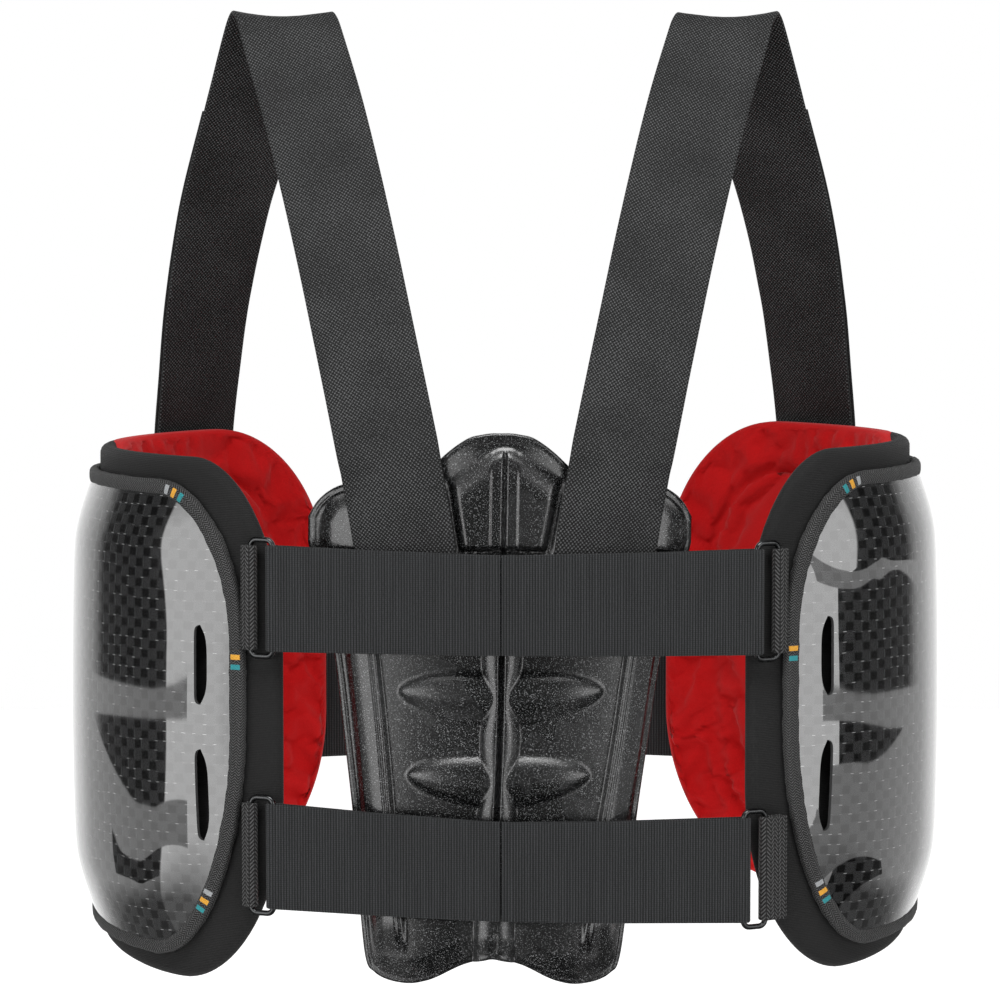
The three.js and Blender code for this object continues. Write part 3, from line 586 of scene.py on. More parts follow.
# Bands: belts, tabs and straps


def flat_section(thickness, across, edge=3):
    """A flat band's section with round edges: share of the flat half width, overhang, and through offset."""
    radius = thickness / 2
    turn = np.linspace(-math.pi / 2, math.pi / 2, 2 * edge + 1)[1:-1]
    ones = np.ones(len(turn))
    right = np.stack([ones, radius * np.cos(turn), radius * np.sin(turn)], -1)
    flat = np.linspace(-1, 1, across)
    lower = np.stack([flat, 0 * flat, 0 * flat - radius], -1)
    upper = np.stack([flat[::-1], 0 * flat, 0 * flat + radius], -1)
    return np.concatenate([lower, right, upper, -right])


def spline(rows, count):
    """Catmull-Rom through rows of numbers, evenly spaced along the first three."""
    rows = np.asarray(rows, float)
    ends = np.concatenate([[2 * rows[0] - rows[1]], rows, [2 * rows[-1] - rows[-2]]])
    fine = []
    for i in range(1, len(ends) - 2):
        p0, p1, p2, p3 = ends[i - 1 : i + 3]
        t = np.linspace(0, 1, 40, endpoint=False)[:, None]
        fine.append(0.5 * (2 * p1 + (p2 - p0) * t + (2 * p0 - 5 * p1 + 4 * p2 - p3) * t**2
                           + (3 * p1 - p0 - 3 * p2 + p3) * t**3))
    fine = np.concatenate([*fine, rows[-1:]])
    return even_rows(fine, count)


def even_rows(rows, count):
    lengths = run_along(rows[:, :3])
    wanted = np.linspace(0, lengths[-1], count)
    made = np.stack([np.interp(wanted, lengths, rows[:, k]) for k in range(rows.shape[1])], -1)
    return made, wanted


def standing_path(plan, count, soften):
    """A plan path, resampled evenly, with its corners rounded."""
    path, run = even_rows(np.asarray(plan, float), count)
    for _ in range(soften):
        path[1:-1] = (path[:-2] + 2 * path[1:-1] + path[2:]) / 4
    return path, run


def standing_band(path, run, middle, half, thickness, across, rib=0.0):
    """A band that stands on edge along a plan path, round its middle height."""
    ahead = np.gradient(path, axis=0)
    ahead /= np.linalg.norm(ahead, axis=1, keepdims=True)
    out = np.stack([ahead[:, 1], -ahead[:, 0]], -1)
    section = flat_section(thickness, across)
    middle, half, _ = np.broadcast_arrays(middle, half, run)
    height = middle[:, None] + section[:, 0] * (half - thickness / 2)[:, None] + section[:, 1]
    wave = 1 + rib * np.cos(2 * math.pi * run / RIB_PITCH)
    offset = section[:, 2] * wave[:, None]
    plan = path[:, None] + out[:, None] * offset[..., None]
    rings = np.concatenate([plan, height[..., None]], -1)
    return *loft(rings), np.stack(np.broadcast_arrays(run[:, None], height), -1).reshape(-1, 2)


def ring_place(name):
    """A ring's side and middle, its outward normal, and the direction along the belt to the back plate."""
    side_name, drop, tilt, beside, _ = BELTS[name]
    side, slide, _ = FLANKS[side_name]
    arc = slide - SHELL_FORM["back"] - beside * RING_WIDTH
    offset = PAD_OUTER + SEAT_GAP + BELT_THICKNESS + LAYER_GAP + RING_WIRE / 2
    normal = torso_normal(side, arc)
    inward = side * np.cross(normal, [0, 0, 1])
    return side, on_torso(side, arc, offset, tilt * BELT_WIDTH - drop), normal, inward


def loop_round(centre, start, radius, turn_sign, steps=22):
    angle = start + turn_sign * math.pi * np.linspace(0, 1, steps)
    return centre[:2] + radius * np.stack([np.cos(angle), np.sin(angle)], -1)


def build_belt(name, material):
    _, drop, tilt, _, knee = BELTS[name]
    side, middle, normal, inward = ring_place(name)
    bar = middle + inward * (RING_WIDTH - RING_WIRE) / 2
    centre_x = BELT_CENTRE_X + side * BELT_CENTRE_GAP / 2
    plate_x = PLATE_SHIFT_X - PLATE_LEAN * drop
    shoulder_x, knee_x = plate_x + side * SPINE_HALF_WIDTH, plate_x + side * knee * PLATE_HALF_WIDTH

    def layer(x, rise, count):
        return [x, -(plate_face(x) + rise + BELT_EASE + BELT_THICKNESS * (count + 0.5) + LAYER_GAP * count)]

    start = math.atan2(-normal[1], -normal[0])
    loop = loop_round(bar, start, RING_WIRE / 2 + LAYER_GAP + BELT_THICKNESS / 2, -side)
    plan = np.array([
        layer(centre_x, SPINE_RISE, 0), layer(shoulder_x, SPINE_RISE, 0), layer(knee_x, RAIL_RISE, 0), *loop,
        layer(knee_x, RAIL_RISE, 1), layer(shoulder_x, SPINE_RISE, 1), layer(centre_x, SPINE_RISE, 1),
    ])
    path, run = standing_path(plan, 1500, 30)
    share = np.abs(path[:, 0] - centre_x) / abs(bar[0] - centre_x)
    level = tilt * BELT_WIDTH * share - drop
    half = BELT_WIDTH / 2 + BELT_SPREAD * np.minimum(1, share)
    shape = standing_band(path, run, level, half, BELT_THICKNESS - 0.2, 5, rib=0.12)
    make_piece(f"belt_{name}", shape, material)


def build_tab(name, material):
    side, middle, normal, inward = ring_place(name)
    bar = middle - inward * (RING_WIDTH - RING_WIRE) / 2
    start = math.atan2(-normal[1], -normal[0])
    loop = loop_round(bar, start, RING_WIRE / 2 + LAYER_GAP + TAB_THICKNESS / 2, side)
    edge_arc = FLANKS[BELTS[name][0]][1] - SHELL_FORM["back"] - SEAT_GAP
    seat = PAD_OUTER + SEAT_GAP + TAB_THICKNESS / 2
    under = on_torso(side, edge_arc, seat, 0.0)[:2]
    over = on_torso(side, edge_arc, seat + TAB_THICKNESS + TAB_END_RISE, 0.0)[:2]
    plan = np.array([under, *loop, over])
    path, run = standing_path(plan, 90, 2)
    shape = standing_band(path, run, middle[2], TAB_WIDTH / 2, TAB_THICKNESS, 14)
    make_piece(f"ring_tab_{name}", shape, material)


def build_ring(name, material):
    _, middle, normal, inward = ring_place(name)
    upward = np.cross(normal, inward)
    radius = RING_CORNER - RING_WIRE / 2
    half = np.array([RING_WIDTH / 2 - RING_WIRE / 2 - radius, RING_HEIGHT / 2 - RING_WIRE / 2 - radius])
    line, steps = [], 10
    for corner, signs in enumerate([(1, 1), (-1, 1), (-1, -1), (1, -1)]):
        turn = (corner + np.linspace(0, 1, steps)) * math.pi / 2
        line.append(half * signs + radius * np.stack([np.cos(turn), np.sin(turn)], -1))
    line = even_loop(np.concatenate(line), 150)
    ahead = np.roll(line, -1, 0) - np.roll(line, 1, 0)
    ahead /= np.linalg.norm(ahead, axis=1, keepdims=True)
    out = np.stack([ahead[:, 1], -ahead[:, 0]], -1)
    turn = np.linspace(0, 2 * math.pi, 16, endpoint=False)
    wire = RING_WIRE / 2
    flat = line[:, None] + out[:, None] * (wire * np.cos(turn))[None, :, None]
    rings = middle + flat[..., :1] * inward + flat[..., 1:] * upward
    rings = rings + (wire * np.sin(turn))[None, :, None] * normal
    make_piece(f"ring_{name}", (*loft(rings, closed=True), None), material)


def build_front_belt(material):
    offset = PAD_OUTER + SEAT_GAP + FRONT_THICKNESS / 2
    start = PAD_FORM["front"] - FRONT_OVERLAP
    end = 2 * QUARTER_ARC - start - FLANKS["right"][1]
    arcs = np.linspace(start, end, 420)
    path = on_torso(-1, arcs, offset, 0.0)[:, :2]
    middle, half = (FRONT_TOP + FRONT_BOTTOM) / 2, (FRONT_TOP - FRONT_BOTTOM) / 2
    shape = standing_band(path, arcs - start, middle, half, FRONT_THICKNESS, 24)
    make_piece("front_belt", shape, material)


def strap_rows(flank):
    """The straps' sections: how far out, depth, height and yaw, on the back and on the chest side."""
    lift = flank[2]

    def plate_row(out, height):
        slope = (TORSO_HALF_DEPTH / TORSO_HALF_WIDTH) ** 2 * out / skin_depth(out)
        depth = plate_face(out) + SEAT_GAP + STRAP_THICKNESS / 2
        return [out, -float(depth), height, math.degrees(math.atan(slope))]

    def pad_row(height):
        spot = on_torso(1, STRAP_FOOT_ARC, PAD_OUTER + SEAT_GAP + STRAP_THICKNESS / 2, height + lift)
        normal = torso_normal(1, STRAP_FOOT_ARC)
        return [*spot, -math.degrees(math.atan2(normal[0], normal[1]))]

    crest = np.array([CREST_OUT, -CREST_BACK, CREST_HEIGHT - STRAP_THICKNESS / 2, 0.0])
    on_plate = [plate_row(*row) for row in STRAP_ON_PLATE]
    foot = pad_row(PAD_FORM["top"])

    def between(start, end, row):
        climb, out, forward, turn = row
        shares = np.array([out, forward, climb])
        place = np.asarray(start[:3]) + (np.asarray(end[:3]) - np.asarray(start[:3])) * shares
        return [*place, turn]

    def bend(sign):
        out, depth, fall = CREST_BEND
        return [crest[0] + sign * out, crest[1] + sign * depth, crest[2] - fall, 0.0]

    back = on_plate + [between(on_plate[-1], crest, row) for row in BACK_RUN]
    back += [bend(-1), crest.tolist(), bend(1)]
    chest = [between(crest, foot, row) for row in CHEST_RUN]
    chest += [foot, pad_row(PAD_FORM["top"] - STRAP_FOOT_SEAM)]
    return back, chest


def band_along(rows, side, thickness, stand_off, count):
    """A strap through sections that have their own yaw, with a slight sway where it hangs free."""
    rows = np.asarray(rows, float) * [side, 1, 1, 1]
    path, run = spline(rows, count)
    along = np.gradient(path[:, :3], axis=0)
    along /= np.linalg.norm(along, axis=1, keepdims=True)
    yaw = np.radians(path[:, 3])
    level = np.stack([np.cos(yaw), side * np.sin(yaw), 0 * yaw], -1)
    wide = level - along * (level * along).sum(1, keepdims=True)
    wide /= np.linalg.norm(wide, axis=1, keepdims=True)
    out = np.cross(wide, along)
    section = flat_section(thickness, 16)
    reach = section[:, 0] * (STRAP_WIDTH - thickness) / 2 + section[:, 1]
    free = smooth((run - 30) / 60) * smooth((run[-1] - 30 - run) / 60)
    sway = 0.5 * noise_field(path[:, :3], 45.0, 5.0) * free
    rings = (
        path[:, None, :3]
        + wide[:, None] * reach[None, :, None]
        + out[:, None] * (section[None, :, 2:] + stand_off + sway[:, None, None])
    )
    return *loft(rings), np.stack(np.broadcast_arrays(run[:, None], reach), -1).reshape(-1, 2)


def build_straps(name, flank, webbing, tail_cloth):
    back, chest = strap_rows(flank)
    shape = band_along(back + chest, flank[0], STRAP_THICKNESS, 0.0, 300)
    make_piece(f"strap_{name}", shape, webbing)
    stand_off = STRAP_THICKNESS / 2 + LAYER_GAP + TAIL_THICKNESS / 2
    shape = band_along(chest[TAIL_FIRST_ROW:], flank[0], TAIL_THICKNESS, stand_off, 160)
    make_piece(f"strap_tail_{name}", shape, tail_cloth)


# Back plate


def plate_outline():
    """The whole outline as top and bottom heights over evenly spaced places across, rounded."""
    half = np.array(PLATE_OUTLINE) * [PLATE_HALF_WIDTH, PLATE_TOP, -PLATE_BOTTOM]
    outs = np.concatenate([-half[:0:-1, 0], half[:, 0]])
    tops = np.concatenate([half[:0:-1, 1], half[:, 1]])
    lows = np.concatenate([half[:0:-1, 2], half[:, 2]])
    upper, _ = spline(np.stack([outs, tops, 0 * outs], -1), 700)
    lower, _ = spline(np.stack([outs, lows, 0 * outs], -1), 900)
    return upper[:, :2], lower[:, :2]


def soft_profile(distance, corners, blur):
    """A rounded profile through corners of distance and height."""
    corners = np.asarray(corners, float)
    step = 0.1
    table = np.arange(corners[0, 0] - 4 * blur, corners[-1, 0] + 4 * blur, step)
    spread = bell(np.arange(-3 * blur, 3 * blur + step / 2, step), blur * math.sqrt(2))
    heights = np.interp(table, corners[:, 0], corners[:, 1])
    padded = np.pad(heights, len(spread) // 2, mode="edge")
    rounded = np.convolve(padded, spread / spread.sum(), mode="same")
    return np.interp(distance, table, rounded[len(spread) // 2 : len(spread) // 2 + len(table)])


def plate_relief(out, z, edge):
    """How far the plate's face stands off the skin side at each place."""
    out = out - 0.5 - 1.4 * fade(z, -160, -80)
    side = np.abs(out)
    rise = PLATE_RIM + 0.9 * round_rise(edge, 1.2) + 0.5 * fade(edge, 2.8, 3.5)
    rise = rise - 0.35 * bell(edge - 2.4, 0.4)
    rise = rise + (PLATE_FLOOR - PLATE_RIM - 1.4) * fade(edge, 3.2, 11.7)

    # Rails with a thin ridge inboard of each, and the recess between them
    drop = (-61.0 - z) / 74.0
    inboard = 64.7 - 9.2 * drop - side
    rail_end = fade(z, -198, -180) * fade(z, -37, -53)
    rail = soft_profile(inboard, RAIL_PROFILE, 0.35)
    recess_end = fade(z, -194, -172) * fade(z, -48, -56)
    rise = rise + np.where(rail > 0, rail * rail_end, rail * np.minimum(rail_end, recess_end))
    floor = rise

    # Domes: blunt leaves, widest at the spine, with crisp edges
    for level, length, half_height in DOMES:
        t = side / length
        lens = half_height * np.clip(1 - np.abs(t) ** 2.2, 1e-6, 1) ** 0.58
        reach = np.clip(1 - ((z - level - 3.0 * t) / lens) ** 2, 0, 1) * (t < 1)
        rise = rise + DOME_RISE * reach * (lens / half_height) ** 0.6

    # Spine of two ribs beside a groove, narrow at the domes and wide between them
    waist = sum(bell(z - level, WAIST_REACH) for level in WAISTS)
    reach = 8.0 - 3.1 * waist
    round_top = np.sqrt(np.clip(1 - (np.maximum(side - 1.0, 0) / reach) ** 2, 0, 1))
    spine = floor + SPINE_RISE * round_top * fade(z, -12, -15.5)
    rise = np.maximum(rise, spine)

    # Hood: a five-sided raised form, soft above, steep at its sides, with an undercut foot
    slope = np.sqrt(side**2 + 9.0) - 3.0
    roof = (HOOD_TOP - 0.62 * slope - z) * 0.85
    foot = z - HOOD_FOOT
    wall = HOOD_HALF_WIDTH + HOOD_WIDENING * foot - side
    on_hood = (roof > 0) & (wall > 0) & (foot > 0)
    bevel = 1 - (1 - np.clip(roof / 11.0, 0, 1)) ** 2
    hood = HOOD_RISE * bevel * round_rise(wall, 2.4) * round_rise(foot, 1.2)
    hood = hood - 0.6 * fade(side, HOOD_RIDGE_OUTER, HOOD_RIDGE_INNER) * fade(roof, 2, 8)
    hood = hood - 2.4 * bell(side, 0.8) * fade(roof, 0, 5)
    rise = np.where(on_hood, floor + (PLATE_FLOOR - floor) * fade(roof, 0, 6) + hood, rise)
    beside = bell(wall + 1.8, 1.7) * fade(z, -16, -12) * fade(z, 22, 17) * (wall < 0)
    under = fade(side, 19, 18) * fade(side, 4.6, 5.6) * bell(z + 12.6, 1.1) * (foot < 0)
    rise = rise - 1.9 * beside - 2.6 * under

    # Lobes beside the hood: smooth swells with a line round them
    lobe = 1 - np.minimum(1, ((side - 69) / 14.5) ** 2 + ((z + 6) / 25) ** 2)
    rise = rise + 2.6 * lobe**0.75 * (z > -13)

    # Bottom lobes
    swell = 1 - np.minimum(1, ((side - 34) / 27) ** 2 + ((z + 190) / 17) ** 2)
    rise = rise + 2.0 * swell**0.8
    notch = fade(z, -197, -194) * fade(z, -186, -189)
    for line in (-8.5, 1.0):
        rise = rise - 0.7 * bell(out - line, 0.7) * notch
    groove = bell(side, 0.9) * fade(edge, 0, 5) * fade(z, -172, -168) * (z < -12)
    return rise - GROOVE_DEPTH * groove


def build_plate(material):
    """A sheet between the relief and a plain skin side, with columns crowded at the spine and the rails."""
    upper, lower = plate_outline()
    loop = even_loop(np.concatenate([upper, lower[::-1]]), 900)
    fine = np.linspace(-PLATE_HALF_WIDTH, PLATE_HALF_WIDTH, 4001)
    crowding = np.cumsum(1 + 1.7 * bell(fine, 9) + 0.8 * bell(np.abs(fine) - 56, 9))
    outs = np.interp(np.linspace(crowding[0], crowding[-1], 251), crowding, fine)
    tops = np.interp(outs, upper[:, 0], upper[:, 1])
    lows = np.interp(outs, lower[:, 0], lower[:, 1])
    shares = edge_shares(176, [0, 0.3, 0.9, 1.8, 2.8], 250.0) / 250.0
    z = lows[:, None] + (tops - lows)[:, None] * shares[None]
    out = np.broadcast_to(outs[:, None], z.shape)
    edge = distance_to_loop(np.stack([out, z], -1), loop)
    rise = plate_relief(out, z, edge)
    x = out + PLATE_SHIFT_X + PLATE_LEAN * z
    front = np.stack([x, -(skin_depth(x) + PLATE_STAND_OFF + rise), z], -1)
    inner = np.stack([x, -(skin_depth(x) + PLATE_STAND_OFF), z], -1)
    uv = np.stack([x.ravel(), z.ravel()], -1)
    shape = (*sheet_solid(front, inner), np.concatenate([uv, uv]))
    make_piece("back_plate", shape, material, 180)


# Materials


class Nodes:
    """A short hand for building a node tree."""

    def __init__(self, node_tree):
        self.nodes, self.links = node_tree.nodes, node_tree.links

    def put(self, socket, value):
        if isinstance(value, bpy.types.NodeSocket):
            self.links.new(value, socket)
        else:
            socket.default_value = value

    def math(self, operation, *values):
        node = self.nodes.new("ShaderNodeMath")
        node.operation = operation
        for socket, value in zip(node.inputs, values):
            self.put(socket, value)
        return node.outputs[0]

    def add(self, first, second):
        return self.math("ADD", first, second)

    def times(self, first, second):
        return self.math("MULTIPLY", first, second)

    def rest(self, share):
        return self.math("SUBTRACT", 1.0, share)

    def split(self, vector):
        node = self.nodes.new("ShaderNodeSeparateXYZ")
        self.links.new(vector, node.inputs[0])
        return node.outputs

    def between(self, value, low, high, out_low=0.0, out_high=1.0, curve="SMOOTHSTEP"):
        node = self.nodes.new("ShaderNodeMapRange")
        node.interpolation_type = curve
        given = {"Value": value, "From Min": low, "From Max": high, "To Min": out_low, "To Max": out_high}
        for name, number in given.items():
            self.put(node.inputs[name], number)
        return node.outputs["Result"]


class Tree(Nodes):
    """The nodes of one material."""

    def __init__(self, name, roughness, **sockets):
        self.material = bpy.data.materials.new(name)
        self.material.use_nodes = True
        super().__init__(self.material.node_tree)
        self.shader = self.nodes["Principled BSDF"]
        self.shader.inputs["Roughness"].default_value = roughness
        for socket, value in sockets.items():
            self.shader.inputs[socket.replace("_", " ")].default_value = value

    def cloth(self):
        """The cloth's own coordinates, in millimetres: along, across, and both as a vector."""
        node = self.nodes.new("ShaderNodeUVMap")
        node.uv_map = "cloth"
        along, across, _ = self.split(node.outputs[0])
        along, across = self.times(along, 1 / MM), self.times(across, 1 / MM)
        return along, across, self.vector(along, across)

    def vector(self, x, y):
        node = self.nodes.new("ShaderNodeCombineXYZ")
        self.put(node.inputs[0], x)
        self.put(node.inputs[1], y)
        return node.outputs[0]

    def place(self):
        """The point in the object's own space, in millimetres."""
        node = self.nodes.new("ShaderNodeTexCoord")
        scale = self.nodes.new("ShaderNodeVectorMath")
        scale.operation = "SCALE"
        scale.inputs["Scale"].default_value = 1 / MM
        self.links.new(node.outputs["Object"], scale.inputs[0])
        return scale.outputs[0]

    def noise(self, vector, scale, detail=2.0, rough=0.5):
        node = self.nodes.new("ShaderNodeTexNoise")
        self.links.new(vector, node.inputs["Vector"])
        node.inputs["Scale"].default_value = scale
        node.inputs["Detail"].default_value = detail
        node.inputs["Roughness"].default_value = rough
        return node.outputs["Fac"]

    def cells(self, vector, scale):
        node = self.nodes.new("ShaderNodeTexVoronoi")
        self.links.new(vector, node.inputs["Vector"])
        node.inputs["Scale"].default_value = scale
        return node.outputs["Distance"]

    def wave(self, value, pitch):
        return self.math("SINE", self.times(value, 2 * math.pi / pitch))

    def share(self, wave):
        """A wave from -1 to 1 as a share from 0 to 1."""
        return self.math("MULTIPLY_ADD", wave, 0.5, 0.5)

    def mix(self, share, first, second):
        node = self.nodes.new("ShaderNodeMix")
        node.data_type = "RGBA"
        self.put(node.inputs[0], share)
        self.put(node.inputs[6], first)
        self.put(node.inputs[7], second)
        return node.outputs[2]

    def colour(self, value):
        self.put(self.shader.inputs["Base Color"], value)

    def roughness(self, value):
        self.put(self.shader.inputs["Roughness"], value)

    def bump(self, height, depth, strength):
        """Bump from a height of 0 to 1 that is worth depth, in millimetres."""
        node = self.nodes.new("ShaderNodeBump")
        node.inputs["Distance"].default_value = depth * MM
        node.inputs["Strength"].default_value = strength
        self.put(node.inputs["Height"], height)
        self.links.new(node.outputs[0], self.shader.inputs["Normal"])


def grey(value, tint=0.0):
    return (value * (1 - tint), value, value * (1 + tint), 1.0)


def plate_material():
    """Moulded foam skin: black, with a fine leather grain, and sparse light specks in its colour that are
    painted glints on the grain's tops.
    """
    tree = Tree("moulded_plate", 0.26, Specular_IOR_Level=0.72)
    place = tree.place()
    pores = tree.cells(place, 1.25)
    fine = tree.noise(place, 1.9, 2.0, 0.6)
    broad = tree.noise(place, 0.03)
    # Painted highlights: sparse light specks in the colour stand in for glints where the grain's tops catch
    # the light.
    painted_glint = tree.between(tree.add(fine, tree.times(broad, 0.06)), 0.6, 0.71)
    tree.colour(tree.mix(painted_glint, grey(0.002, 0.02), grey(0.17, 0.02)))
    tree.roughness(tree.between(broad, 0.3, 0.7, 0.23, 0.29))
    tree.bump(tree.add(tree.times(pores, 0.6), tree.times(fine, 0.6)), 0.1, 0.4)
    return tree.material


def belt_material():
    """Ribbed elastic: fine ribs across the band, with threads along it."""
    tree = Tree("ribbed_elastic", 0.85, Sheen_Weight=0.05, Sheen_Roughness=0.5, Specular_IOR_Level=0.25)
    along, across, spot = tree.cloth()
    wander = tree.noise(tree.vector(tree.times(along, 0.7), tree.times(across, 0.02)), 1.0, 3.0)
    threads = tree.math("MULTIPLY_ADD", tree.wave(across, 0.9), 0.25, 0.75)
    knit = tree.times(tree.share(tree.wave(along, RIB_PITCH)), threads)
    grain = tree.noise(spot, 1.4, 2.0, 0.7)
    light = tree.add(tree.times(knit, 0.5), tree.times(grain, 0.55))
    light = tree.add(light, tree.between(wander, 0.35, 0.7, -0.04, 0.04))
    tree.colour(tree.mix(tree.between(light, 0.2, 1.0), grey(0.007, 0.05), grey(0.05, 0.05)))
    tree.bump(knit, 0.3, 0.8)
    return tree.material


def webbing_material(name, pitch_along, pitch_across, low, high, depth):
    """Twill webbing: staggered rows of short floats."""
    tree = Tree(name, 0.65, Sheen_Weight=0.04, Sheen_Roughness=0.5, Specular_IOR_Level=0.3)
    along, across, spot = tree.cloth()
    dots = tree.share(tree.times(tree.wave(along, pitch_along), tree.wave(across, pitch_across)))
    grain = tree.noise(spot, 0.9, 2.0, 0.7)
    broad = tree.noise(spot, 0.03)
    light = tree.add(dots, tree.between(grain, 0.2, 0.8, -0.2, 0.2))
    light = tree.add(light, tree.between(broad, 0.3, 0.7, -0.06, 0.06))
    tree.colour(tree.mix(tree.between(light, 0.48, 1.02), grey(low, 0.02), grey(high, 0.02)))
    tree.bump(dots, depth, 0.9)
    return tree.material


def braid_material():
    """Coarse braid of the ring tabs: zigzag rows with a seam between them."""
    tree = Tree("braided_tab", 0.75, Sheen_Weight=0.04, Specular_IOR_Level=0.35)
    along, across, spot = tree.cloth()
    row = 2.1
    zigzag = tree.times(tree.math("PINGPONG", along, row), 1.3)
    seam = tree.math("ABSOLUTE", tree.wave(along, 2 * row))
    height = tree.times(tree.share(tree.wave(tree.add(across, zigzag), 1.9)), tree.between(seam, 0.0, 0.5))
    grain = tree.noise(spot, 1.5, 2.0, 0.7)
    light = tree.add(height, tree.between(grain, 0.3, 0.7, -0.2, 0.2))
    tree.colour(tree.mix(tree.between(light, 0.2, 1.0), grey(0.005), grey(0.075)))
    tree.bump(height, 0.5, 0.9)
    return tree.material


def knit_material():
    """Fine knit over the pads."""
    tree = Tree("pad_knit", 0.85, Sheen_Weight=0.05, Sheen_Roughness=0.5, Specular_IOR_Level=0.25)
    along, across, _ = tree.cloth()
    wale = tree.wave(along, 0.95)
    course = tree.wave(tree.add(across, tree.times(wale, 0.2)), 0.8)
    loops = tree.share(tree.times(wale, course))
    place = tree.place()
    broad = tree.noise(place, 0.025, 3.0)
    grain = tree.noise(place, 1.1, 2.0, 0.7)
    light = tree.add(tree.times(loops, 0.6), tree.times(grain, 0.5))
    shade = tree.mix(tree.between(light, 0.2, 1.0), grey(0.003), grey(0.022))
    tree.colour(tree.mix(tree.between(broad, 0.35, 0.7, 0.0, 0.35), shade, grey(0.008)))
    tree.bump(loops, 0.2, 0.8)
    return tree.material


def lining_material():
    """Red brushed cloth."""
    tree = Tree("brushed_lining", 0.9, Sheen_Weight=0.1, Sheen_Roughness=0.5, Specular_IOR_Level=0.12)
    place = tree.place()
    nap = tree.noise(place, 1.3, 3.0, 0.7)
    broad = tree.noise(place, 0.02)
    shade = tree.add(tree.times(nap, 0.5), tree.times(broad, 0.5))
    tree.colour(tree.mix(tree.between(shade, 0.3, 0.7), (0.43, 0.003, 0.004, 1), (0.54, 0.008, 0.009, 1)))
    tree.bump(nap, 0.15, 0.5)
    return tree.material


def carbon_material():
    """Woven shell under a clear coat: a checker of tows, the deep ones smaller and darker, and painted
    highlights as light specks where the tows cross.
    """
    coat = {"Coat_Weight": 1.0, "Coat_Roughness": 0.025, "Coat_IOR": 1.95}
    tree = Tree("woven_shell", 0.4, Specular_IOR_Level=0.15, **coat)
    along, across, spot = tree.cloth()
    sway = tree.times(tree.math("SUBTRACT", tree.noise(spot, 0.05), 0.5), 0.5)
    u = tree.add(tree.math("DIVIDE", along, 4.2), sway)
    v = tree.add(tree.math("DIVIDE", across, 4.7), sway)

    def from_middle(way):
        return tree.math("ABSOLUTE", tree.math("SUBTRACT", tree.math("FRACT", way), 0.5))

    def nearest(way):
        return tree.math("FLOOR", tree.add(way, 0.5))

    from_u, from_v = from_middle(u), from_middle(v)
    row = tree.add(tree.math("FLOOR", u), tree.math("FLOOR", v))
    checker = tree.math("MODULO", tree.math("ABSOLUTE", row), 2.0)
    square = tree.times(tree.between(from_u, 0.45, 0.38), tree.between(from_v, 0.43, 0.36))
    deep = tree.times(square, checker)
    fibres = tree.wave(tree.math("FRACT", v), 1 / 7)
    shade = tree.mix(tree.between(fibres, -1.0, 1.0), grey(0.013, 0.02), grey(0.022, 0.02))
    gap = tree.math("MAXIMUM", from_u, from_v)
    shade = tree.mix(tree.between(gap, 0.46, 0.5, 0.0, 0.5), shade, grey(0.005))
    shade = tree.mix(deep, shade, grey(0.0006))
    # Painted highlights: small light specks in the colour where the tows cross.
    chance = tree.noise(tree.vector(nearest(u), nearest(v)), 3.7, 0.0)
    glint_spot = tree.times(tree.between(from_v, 0.455, 0.485), tree.between(from_u, 0.26, 0.4))
    painted_glint = tree.times(glint_spot, tree.between(chance, 0.45, 0.65))
    tree.colour(tree.mix(tree.times(painted_glint, 0.8), shade, grey(0.3)))
    tree.bump(tree.times(square, tree.rest(deep)), 0.12, 0.35)
    return tree.material


def tape_material():
    """Woven binding tape: herringbone with light flecks, and now and then three small coloured bars."""
    tree = Tree("binding_tape", 0.75, Sheen_Weight=0.04, Specular_IOR_Level=0.35)
    along, across, spot = tree.cloth()
    height = tree.share(tree.wave(tree.add(along, tree.math("PINGPONG", across, 1.6)), 1.3))
    fleck = tree.noise(spot, 1.2, 3.0, 0.75)
    light = tree.add(tree.times(height, 0.45), tree.times(fleck, 0.8))
    shade = tree.mix(tree.between(light, 0.5, 1.05), grey(0.004), grey(0.11))
    span = tree.math("MODULO", tree.add(along, 40.0), 118.0)
    tape = tree.times(tree.between(across, 4.8, 5.0), tree.between(across, 9.4, 9.2))
    bars = [(0.0, (0.02, 0.22, 0.24, 1)), (4.6, (0.62, 0.30, 0.03, 1)), (9.2, (0.30, 0.31, 0.32, 1))]
    length, blur = 2.6, 0.25
    for start, colour in bars:
        end = start + length
        bar = tree.times(tree.between(span, start, start + blur), tree.between(span, end, end - blur))
        shade = tree.mix(tree.times(bar, tape), shade, colour)
    tree.colour(shade)
    tree.bump(height, 0.25, 0.9)
    return tree.material


def wire_material():
    """Dark worn metal."""
    tree = Tree("gunmetal_wire", 0.28, Metallic=1.0)
    place = tree.place()
    wear = tree.noise(place, 0.25, 3.0, 0.6)
    tree.colour(tree.mix(wear, grey(0.035, 0.02), grey(0.085, 0.02)))
    tree.roughness(tree.between(wear, 0.3, 0.7, 0.2, 0.38))
    tree.bump(tree.noise(place, 1.5), 0.03, 0.3)
    return tree.material


# Studio and camera


def stand(name, data, place, turn=(0, 0, 0)):
    item = bpy.data.objects.new(name, data)
    item.location, item.rotation_euler = place, turn
    bpy.context.scene.collection.objects.link(item)
    return item


def make_camera():
    distance, elevation = 2.4, math.radians(5)
    target = Vector((-0.0024, 0.008, -0.2278))
    camera = bpy.data.cameras.new("camera")
    camera.sensor_width = 36.0
    camera.lens = 180.75
    camera.clip_end = 100.0
    place = target + distance * Vector((0, -math.cos(elevation), math.sin(elevation)))
    bpy.context.scene.camera = stand("camera", camera, place, (math.pi / 2 - elevation, 0, 0))


